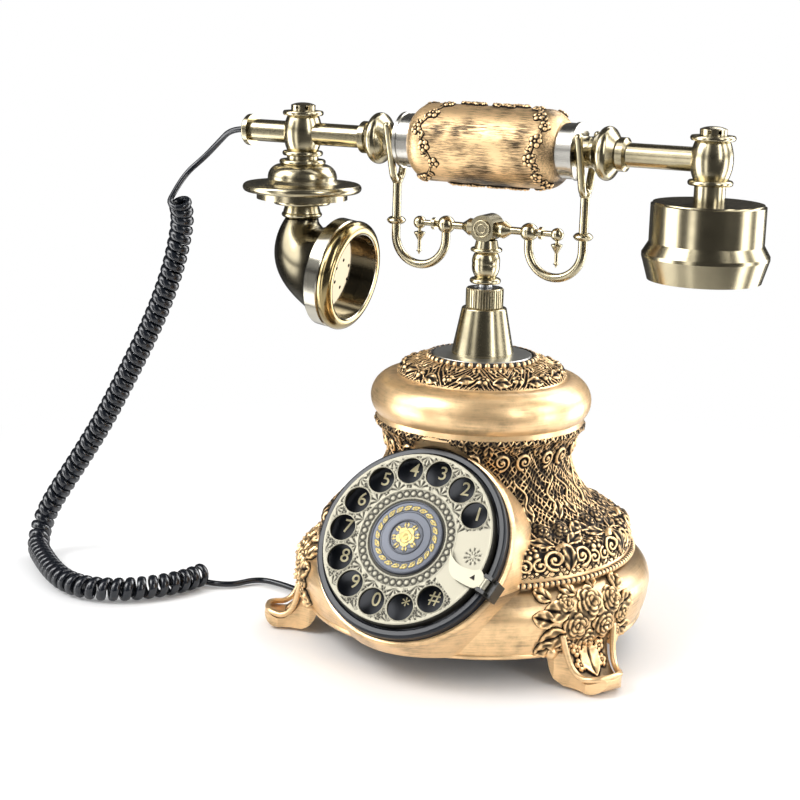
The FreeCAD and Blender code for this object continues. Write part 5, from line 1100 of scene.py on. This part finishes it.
class TELEPHONE_OT_grip(bpy.types.Operator):
    """Carve the flower garlands on the grip"""
    bl_idname = "telephone.grip"
    bl_label = "Grip garlands"

    # Flowers of each garland: places along the grip in millimetres, and angles in degrees up from the front.
    GARLANDS = (((-20.4, 78), (-24.4, 50), (-30.8, 23), (-26, -2), (-21.6, -27), (-28.3, -57), (-34, -78)),
                ((25.2, 81), (28.7, 57), (33, 40), (30.3, 15), (27.5, -13), (30, -40), (33, -65)))
    # Flowers along the top, in the same way.
    CRESTS = ((-9, 96), (-4, 88), (2, 92), (8, 87), (13, 94), (18, 88), (-14, 92))

    def execute(self, context):
        chance = random.Random(11)
        rounded = arc((GRIP_END, -GRIP_REACH), (GRIP_RADIUS, GRIP_ROUND - GRIP_REACH), -0.13, 10)
        at, length = along_profile(rounded + [(r, -along) for r, along in reversed(rounded)])
        carving = Carving(FULL_TURN * GRIP_RADIUS, length, wraps=True)
        for far_side in (0, math.pi):
            for garland in self.GARLANDS:
                flowers = [self.spot(x, angle, far_side, length) for x, angle in garland]
                self.garland(carving, flowers, chance)
            for x, angle in self.CRESTS:
                place = self.spot(x, angle, far_side, length)
                carving.leaf(*place, 6, 2.0, chance.uniform(0, FULL_TURN), 1.1)
                carving.flower(*place, chance.uniform(2.0, 2.8), 1.2, chance.uniform(0, 1))
        ground = Carving(carving.width, carving.height, wraps=True)
        ground.map = (carving.map > 0.05).astype(float)
        ground.map = np.clip(ground.blurred(0.5) * 3, 0, 1)
        worn = carving.wear()

        def lay(u, v):
            r, along, nr, nx = at(v * length)
            cos, sin = np.cos(u * FULL_TURN), np.sin(u * FULL_TURN)
            outward = np.stack([nx, nr * cos, nr * sin], axis=1)
            places = np.stack([along, r * cos, r * sin + HANDSET_HEIGHT], axis=1)
            x, y = u * carving.width, v * carving.height
            heights = carving.sample(x, y) * 1.4 + 0.5 * ground.sample(x, y) - 0.4
            return places, outward, heights, worn.sample(x, y)
        relief_sheet("grip_garlands", 360, 230, lay, "carved", "handset")
        return {"FINISHED"}

    def spot(self, x, angle, far_side, length):
        return (math.pi - math.radians(angle) + far_side) * GRIP_RADIUS, length / 2 + x

    def garland(self, carving, flowers, chance):
        """Flowers on a thin winding stem, with small leaves beside it."""
        line = route([(x, y, 0) for x, y in flowers], 160)
        carving.stroke([(x, y) for x, y, _ in line], 0.4, 0.4, 0.45)
        for x, y, _ in line[::10]:
            carving.leaf(x, y, 3.6, 1.3, chance.uniform(0, FULL_TURN), 0.75)
        for x, y in flowers:
            carving.flower(x, y, chance.uniform(2.8, 3.3), 1.0, chance.uniform(0, 1))


class TELEPHONE_OT_wheel(bpy.types.Operator):
    """Stamp the foliage, bead ring and hole rims of the finger wheel"""
    bl_idname = "telephone.wheel"
    bl_label = "Finger wheel ornament"

    # Level of the plain ground, and radii of the wheel's rings in millimetres.
    PLAIN, LEAVES_FROM, LEAVES_TO = 0.8, 24.6, 40.2
    INNER_EDGE, STEP_EDGE, BEADS_FROM, BEADS_TO, OUTER_EDGE = 18.1, 18.9, 19.2, 24, 41.4
    LINES, LINE_HALF = (19.5, 24.1, 40.7), 0.35
    BEADS, BEAD_CIRCLE, BEAD, BEAD_HOLLOW = 40, 21.7, 1.35, 1.75
    ROSETTE_CIRCLE, ROSETTE_TURN = 34.5, math.radians(HOLE_FIRST - 34)
    # Degrees of foliage beyond the first and last hole.
    LEAFY_MARGIN = 13
    # The sheet's height above the wheel's face and the depth of its stamping, in millimetres.
    SHEET_LIFT, STAMPING = -0.06, 0.35
    # Round each hole: width and level of the plain rim, the sheet's gap, and the wire's radius and height.
    RIM_WIDTH, RIM_LEVEL, HOLE_GAP, RIM_WIRE, RIM_LIFT = 0.55, 0.9, 0.1, 0.32, 0.12

    def execute(self, context):
        carving = Carving(84, 84, ground=self.PLAIN)
        x, y = (place - carving.width / 2 for place in carving.places())
        self.foliage(carving, x, y)
        self.rosette(carving, x, y)
        self.bead_ring(carving, np.hypot(x, y))
        for hole_x, hole_y in HOLES:
            rim = np.hypot(x - hole_x, y - hole_y) < HOLE_RADIUS + self.RIM_WIDTH
            carving.set_where(rim, self.RIM_LEVEL)

        def over_hole(places):
            flat = (places - DIAL_ORIGIN) @ DIAL_TURN
            nearest = np.min([np.hypot(flat[:, 0] - a, flat[:, 1] - b) for a, b in HOLES], axis=0)
            return nearest < HOLE_RADIUS + self.HOLE_GAP

        def level(r):
            return np.full_like(r, self.SHEET_LIFT)
        lay = disc_lay(carving, self.INNER_EDGE, self.OUTER_EDGE, level, self.STAMPING)
        relief_sheet("wheel_foliage", 900, 110, lay, "plate", "dial", over_hole)

        bm = bmesh.new()
        for hole_x, hole_y in HOLES:
            add_ring(bm, HOLE_RADIUS, self.RIM_WIRE, 48, DIAL_FRAME @ shift(hole_x, hole_y, self.RIM_LIFT))
        finish_piece("hole_rims", bm, "key", "dial")
        return {"FINISHED"}

    def foliage(self, carving, x, y):
        """Fans of leaves between the holes on a worm-lined ground."""
        reach, turn = np.hypot(x, y), np.degrees(np.arctan2(y, x))
        around = (turn - HOLE_FIRST + self.LEAFY_MARGIN) % 360
        leafy = around < HOLE_PITCH * (len(HOLES) - 1) + 2 * self.LEAFY_MARGIN
        leafy &= (reach > self.LEAVES_FROM) & (reach < self.LEAVES_TO)
        worms = np.sin(x * 3.2 + 1.6 * np.sin(y * 1.9)) * np.sin(y * 3.0 + 1.4 * np.sin(x * 1.7))
        carving.set_where(leafy, 0.5 + 0.45 * np.clip(worms * 2.6, -1, 1))
        beside = ((turn - HOLE_FIRST) / HOLE_PITCH % 1 - 0.5) * math.radians(HOLE_PITCH)
        for root, sense, size in ((self.LEAVES_TO, -1, 3.7), (self.LEAVES_FROM, 1, 4.4)):
            sideways, depth = beside * root, (reach - root) * sense
            distance, ray = np.hypot(sideways, depth), np.arctan2(sideways, np.maximum(depth, 0.05))
            petals = np.abs(np.cos(ray * 4.5))
            fan = leafy & (distance < size * (0.8 + 0.2 * petals))
            carving.set_where(fan, np.clip(petals * 1.7 - 0.3, 0.1, 1) * (0.7 + 0.3 * distance / size))

    def rosette(self, carving, x, y):
        """A rosette of petals engraved on the plain part beside the key."""
        across, up = polar(self.ROSETTE_CIRCLE, self.ROSETTE_TURN)
        distance, ray = np.hypot(x - across, y - up), np.arctan2(y - up, x - across)
        for petals, outer, inner in ((5, 4.8, 2.6), (4, 2.6, 0.7)):
            bend = np.abs(np.cos(ray * petals))
            ring = (distance < outer * (0.8 + 0.2 * bend)) & (distance > inner)
            carving.set_where(ring, np.clip(bend * 1.4, 0.25, 0.85))

    def bead_ring(self, carving, reach):
        """Round beads in a sunk ring, with a line on each side, and a dark ring of painted shade next to the
        badge.
        """
        carving.set_where((reach > self.BEADS_FROM) & (reach < self.BEADS_TO), 0.5)
        # Painted shade round the badge: this ring goes to the lowest level, so the plate turns dark there.
        carving.set_where(reach < self.STEP_EDGE, 0.0)
        for line in self.LINES:
            carving.set_where(np.abs(reach - line) < self.LINE_HALF, 0.95)
        for x, y, _ in round_spots(self.BEADS, self.BEAD_CIRCLE, carving.width / 2, carving.width / 2):
            carving.dip(x, y, self.BEAD_HOLLOW, 0.1)
            carving.dome(x, y, self.BEAD, 1.0)


class TELEPHONE_OT_badge(bpy.types.Operator):
    """Put a rosette and a ring of leaves on the wheel's centre"""
    bl_idname = "telephone.badge"
    bl_label = "Centre rosette"

    # Radii in millimetres: the rose, its dark ground, the groove, the ring of leaves and the badge.
    ROSE, GROUND, GROOVE, GROOVE_HALF, LEAF_CIRCLE, EDGE = 6.2, 7.8, 12.6, 0.45, 14.9, 17.3
    # The badge's crown: radius of its foot, height there and its rise; and the height of the ornament on it.
    CROWN_RADIUS, CROWN_FOOT, CROWN_RISE, ORNAMENT = 17.6, 0.45, 0.62, 0.6
    # Two rings of wire: radius, wire radius and height.
    RINGS = ((17.2, 0.45, 0.85), (8.1, 0.5, 1.3))

    def execute(self, context):
        carving = Carving(36, 36, ground=0.5)
        x, y = carving.places()
        middle = carving.width / 2
        reach = np.hypot(x - middle, y - middle)
        carving.set_where((reach < self.GROUND) | (np.abs(reach - self.GROOVE) < self.GROOVE_HALF), 0.04)
        carving.rose(middle, middle, self.ROSE, 1.25, 0.4)
        for across, up, angle in round_spots(8, 4.2, middle, middle, 0.2):
            carving.leaf(across, up, 3.4, 1.3, angle, 1.0)
        for across, up, angle in round_spots(22, self.LEAF_CIRCLE, middle, middle):
            carving.leaf(across, up, 3.6, 1.1, angle + QUARTER_TURN + 0.5, 1.2)
            carving.dome(across, up, 0.7, 1.0)

        def crown(r):
            return self.CROWN_FOOT + self.CROWN_RISE * (1 - (r / self.CROWN_RADIUS) ** 2)
        lay = disc_lay(carving, 0, self.EDGE, crown, self.ORNAMENT)
        relief_sheet("badge_rosette", 320, 90, lay, "badge", "dial")
        bm = bmesh.new()
        for radius, thick, lift in self.RINGS:
            add_ring(bm, radius, thick, 96, DIAL_FRAME @ shift(0, 0, lift))
        finish_piece("badge_rings", bm, "enamel", "dial")
        return {"FINISHED"}


class TELEPHONE_OT_marks(bpy.types.Operator):
    """Put the rings on the cradle's hub and a plain arrow on the key"""
    bl_idname = "telephone.marks"
    bl_label = "Hub rings and key arrow"

    ARROW_RADIUS, ARROW_DEPTH = 1.6 * MM, 0.16 * MM
    # Rings on each face of the hub: share of the hub's radius, and wire radius in millimetres.
    HUB_RINGS = ((0.6, 0.5), (0.32, 0.35))

    def execute(self, context):
        low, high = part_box("cradle_hub")
        bm = bmesh.new()
        for face in (low.y, high.y):
            middle = Matrix.Translation((0, face, high.z - HUB_RADIUS * MM))
            place = middle @ Matrix.Rotation(QUARTER_TURN, 4, "X")
            for share, thick in self.HUB_RINGS:
                add_ring(bm, share * HUB_RADIUS, thick, 40, place)
        finish_piece("hub_rings", bm, "brass", "cradle")

        bm = bmesh.new()
        on_key = DIAL_FRAME @ Matrix.Rotation(math.radians(KEY_ANGLE), 4, "Z") @ Matrix.Translation(KEY_MARK)
        bmesh.ops.create_cone(bm, segments=3, radius1=self.ARROW_RADIUS, radius2=self.ARROW_RADIUS,
                              depth=self.ARROW_DEPTH, cap_ends=True, matrix=on_key)
        finish_piece("key_arrow", bm, "wash", "stop_key")
        return {"FINISHED"}


class TELEPHONE_OT_stage(bpy.types.Operator):
    """Set the floor, the soft studio light and the camera of the photograph"""
    bl_idname = "telephone.stage"
    bl_label = "Stage"

    # Name, place, size in metres and power in watts; each lamp aims at the telephone's middle.
    LAMPS = (("key_light", (-0.9, -1.1, 1.5), (0.8, 0.8), 18),
             ("fill_light", (1.5, -0.7, 0.9), (0.4, 1.3), 10),
             ("back_light", (0.3, 1.4, 1.3), (1.4, 0.5), 10))
    MIDDLE = Vector((0, 0, 0.13))
    # Floor: half width, how far it lies under the feet, and where it starts and ends to fade, in metres.
    FLOOR_REACH, FLOOR_DROP, FADE_FROM, FADE_TO = 4.0, 0.0002, 0.12, 0.5
    # The room that the metal mirrors: waves round it (count, start, size), then light by wave and by height.
    WAVES = ((2, 0.2, 0.65), (7, 1.0, 0.35))
    PANELS = ((0.0, 0.015), (0.3, 0.05), (0.42, 0.4), (0.6, 1.0))
    BANDS = ((0.0, 0.9), (0.1, 0.06), (0.28, 0.9), (0.6, 1.0), (0.82, 0.55), (1.0, 0.25))
    ROOM_LIGHT, SOFT_LIGHT = 7.0, 0.8

    def execute(self, context):
        scene = context.scene
        scene.view_settings.view_transform = "Standard"
        self.floor()
        self.world(scene)
        for name, place, size, power in self.LAMPS:
            lamp = bpy.data.lights.new(name, "AREA")
            lamp.shape = "RECTANGLE"
            lamp.size, lamp.size_y = size
            lamp.energy = power
            obj = place_object(name, lamp)
            obj.location = place
            obj.rotation_euler = (self.MIDDLE - Vector(place)).to_track_quat("-Z", "Y").to_euler()
        self.camera(scene)
        return {"FINISHED"}

    def floor(self):
        """White paper that ends softly: in plain white for the camera, and in the dark room for the metal."""
        bm = bmesh.new()
        bmesh.ops.create_grid(bm, x_segments=1, y_segments=1, size=self.FLOOR_REACH,
                              matrix=Matrix.Translation((0, 0, -self.FLOOR_DROP)))
        mesh = new_mesh("floor", bm)
        material, tree, shader = new_material("white_paper", linear("#FAFAFA"), roughness=0.9)
        distance = vector_maths(tree, "LENGTH", "Value", object_point(tree))
        fade = {"Value": distance, "From Min": self.FADE_FROM, "From Max": self.FADE_TO}
        far = result(tree, "MapRange", fade, interpolation_type="SMOOTHSTEP")
        rays = add_node(tree, "LightPath").outputs
        white = result(tree, "Emission", {"Color": (1, 1, 1, 1), "Strength": 1.0})
        surface = shader.outputs[0]
        for ray, ending in (("Is Camera Ray", white), ("Is Glossy Ray", result(tree, "BsdfTransparent"))):
            share = maths(tree, "MULTIPLY", far, rays[ray])
            surface = result(tree, "MixShader", {0: share, 1: surface, 2: ending})
        tree.links.new(surface, tree.nodes["Material Output"].inputs["Surface"])
        mesh.materials.append(material)
        obj = place_object("floor", mesh)

    def world(self, scene):
        """White to the camera, soft grey to the paint, and a dark room with bright panels to the metal."""
        world = bpy.data.worlds.new("studio")
        world.use_nodes = True
        scene.world = world
        tree = world.node_tree
        tree.nodes.clear()
        rays = add_node(tree, "LightPath").outputs
        way = add_node(tree, "SeparateXYZ", {"Vector": result(tree, "TexCoord", output="Generated")}).outputs
        around = maths(tree, "ARCTAN2", way["Y"], way["X"])
        waves = 0.0
        for count, start, size in self.WAVES:
            wave = maths(tree, "SINE", maths(tree, "MULTIPLY_ADD", around, count, start))
            waves = maths(tree, "MULTIPLY_ADD", wave, size, waves)
        room = multiplied(tree, ramp(tree, way["Z"], self.BANDS), ramp(tree, waves, self.PANELS))
        light = result(tree, "Background", {"Color": (1, 1, 1, 1), "Strength": self.SOFT_LIGHT})
        mirrored = result(tree, "Background", {"Color": room, "Strength": self.ROOM_LIGHT})
        white = result(tree, "Background", {"Color": (1, 1, 1, 1), "Strength": 1.0})
        for ray, seen in (("Is Glossy Ray", mirrored), ("Is Camera Ray", white)):
            light = result(tree, "MixShader", {0: rays[ray], 1: light, 2: seen})
        add_node(tree, "OutputWorld", {"Surface": light})

    def camera(self, scene):
        """The photograph's camera."""
        lens = bpy.data.cameras.new("photo_camera")
        lens.sensor_fit = "HORIZONTAL"
        lens.sensor_width = CAMERA_SENSOR
        lens.lens = CAMERA_LENS
        lens.clip_start = 0.01
        obj = place_object("photo_camera", lens)
        columns = [Vector(CAMERA_RIGHT), Vector(CAMERA_UP), -Vector(CAMERA_FORWARD)]
        turn = Matrix([[column[row] for column in columns] for row in range(3)]).to_4x4()
        obj.matrix_world = Matrix.Translation(CAMERA_PLACE) @ turn
        scene.camera = obj


OPERATORS = (
    TELEPHONE_OT_finishes, TELEPHONE_OT_stage, TELEPHONE_OT_cord, TELEPHONE_OT_figures, TELEPHONE_OT_waist,
    TELEPHONE_OT_roses, TELEPHONE_OT_grip, TELEPHONE_OT_wheel, TELEPHONE_OT_badge, TELEPHONE_OT_marks,
)


class TELEPHONE_PT_panel(bpy.types.Panel):
    """Lists the telephone's pieces, sizes and colours"""
    bl_label = "Telephone"
    bl_idname = "TELEPHONE_PT_panel"
    bl_space_type = "VIEW_3D"
    bl_region_type = "UI"
    bl_category = "Telephone"

    def draw(self, context):
        layout = self.layout
        for operator in OPERATORS:
            layout.operator(operator.bl_idname)
        for group in (context.scene.telephone_sizes, context.scene.telephone_colours):
            for key in group.__annotations__:
                layout.prop(group, key)


CLASSES = (TelephoneColours, TelephoneSizes) + OPERATORS + (TELEPHONE_PT_panel,)


def register():
    for item in CLASSES:
        bpy.utils.register_class(item)
    bpy.types.Scene.telephone_colours = PointerProperty(type=TelephoneColours)
    bpy.types.Scene.telephone_sizes = PointerProperty(type=TelephoneSizes)


def unregister():
    del bpy.types.Scene.telephone_sizes
    del bpy.types.Scene.telephone_colours
    for item in reversed(CLASSES):
        bpy.utils.unregister_class(item)


def main():
    register()
    for operator in OPERATORS:
        group, name = operator.bl_idname.split(".")
        getattr(getattr(bpy.ops, group), name)()


if __name__ == "__main__":
    main()
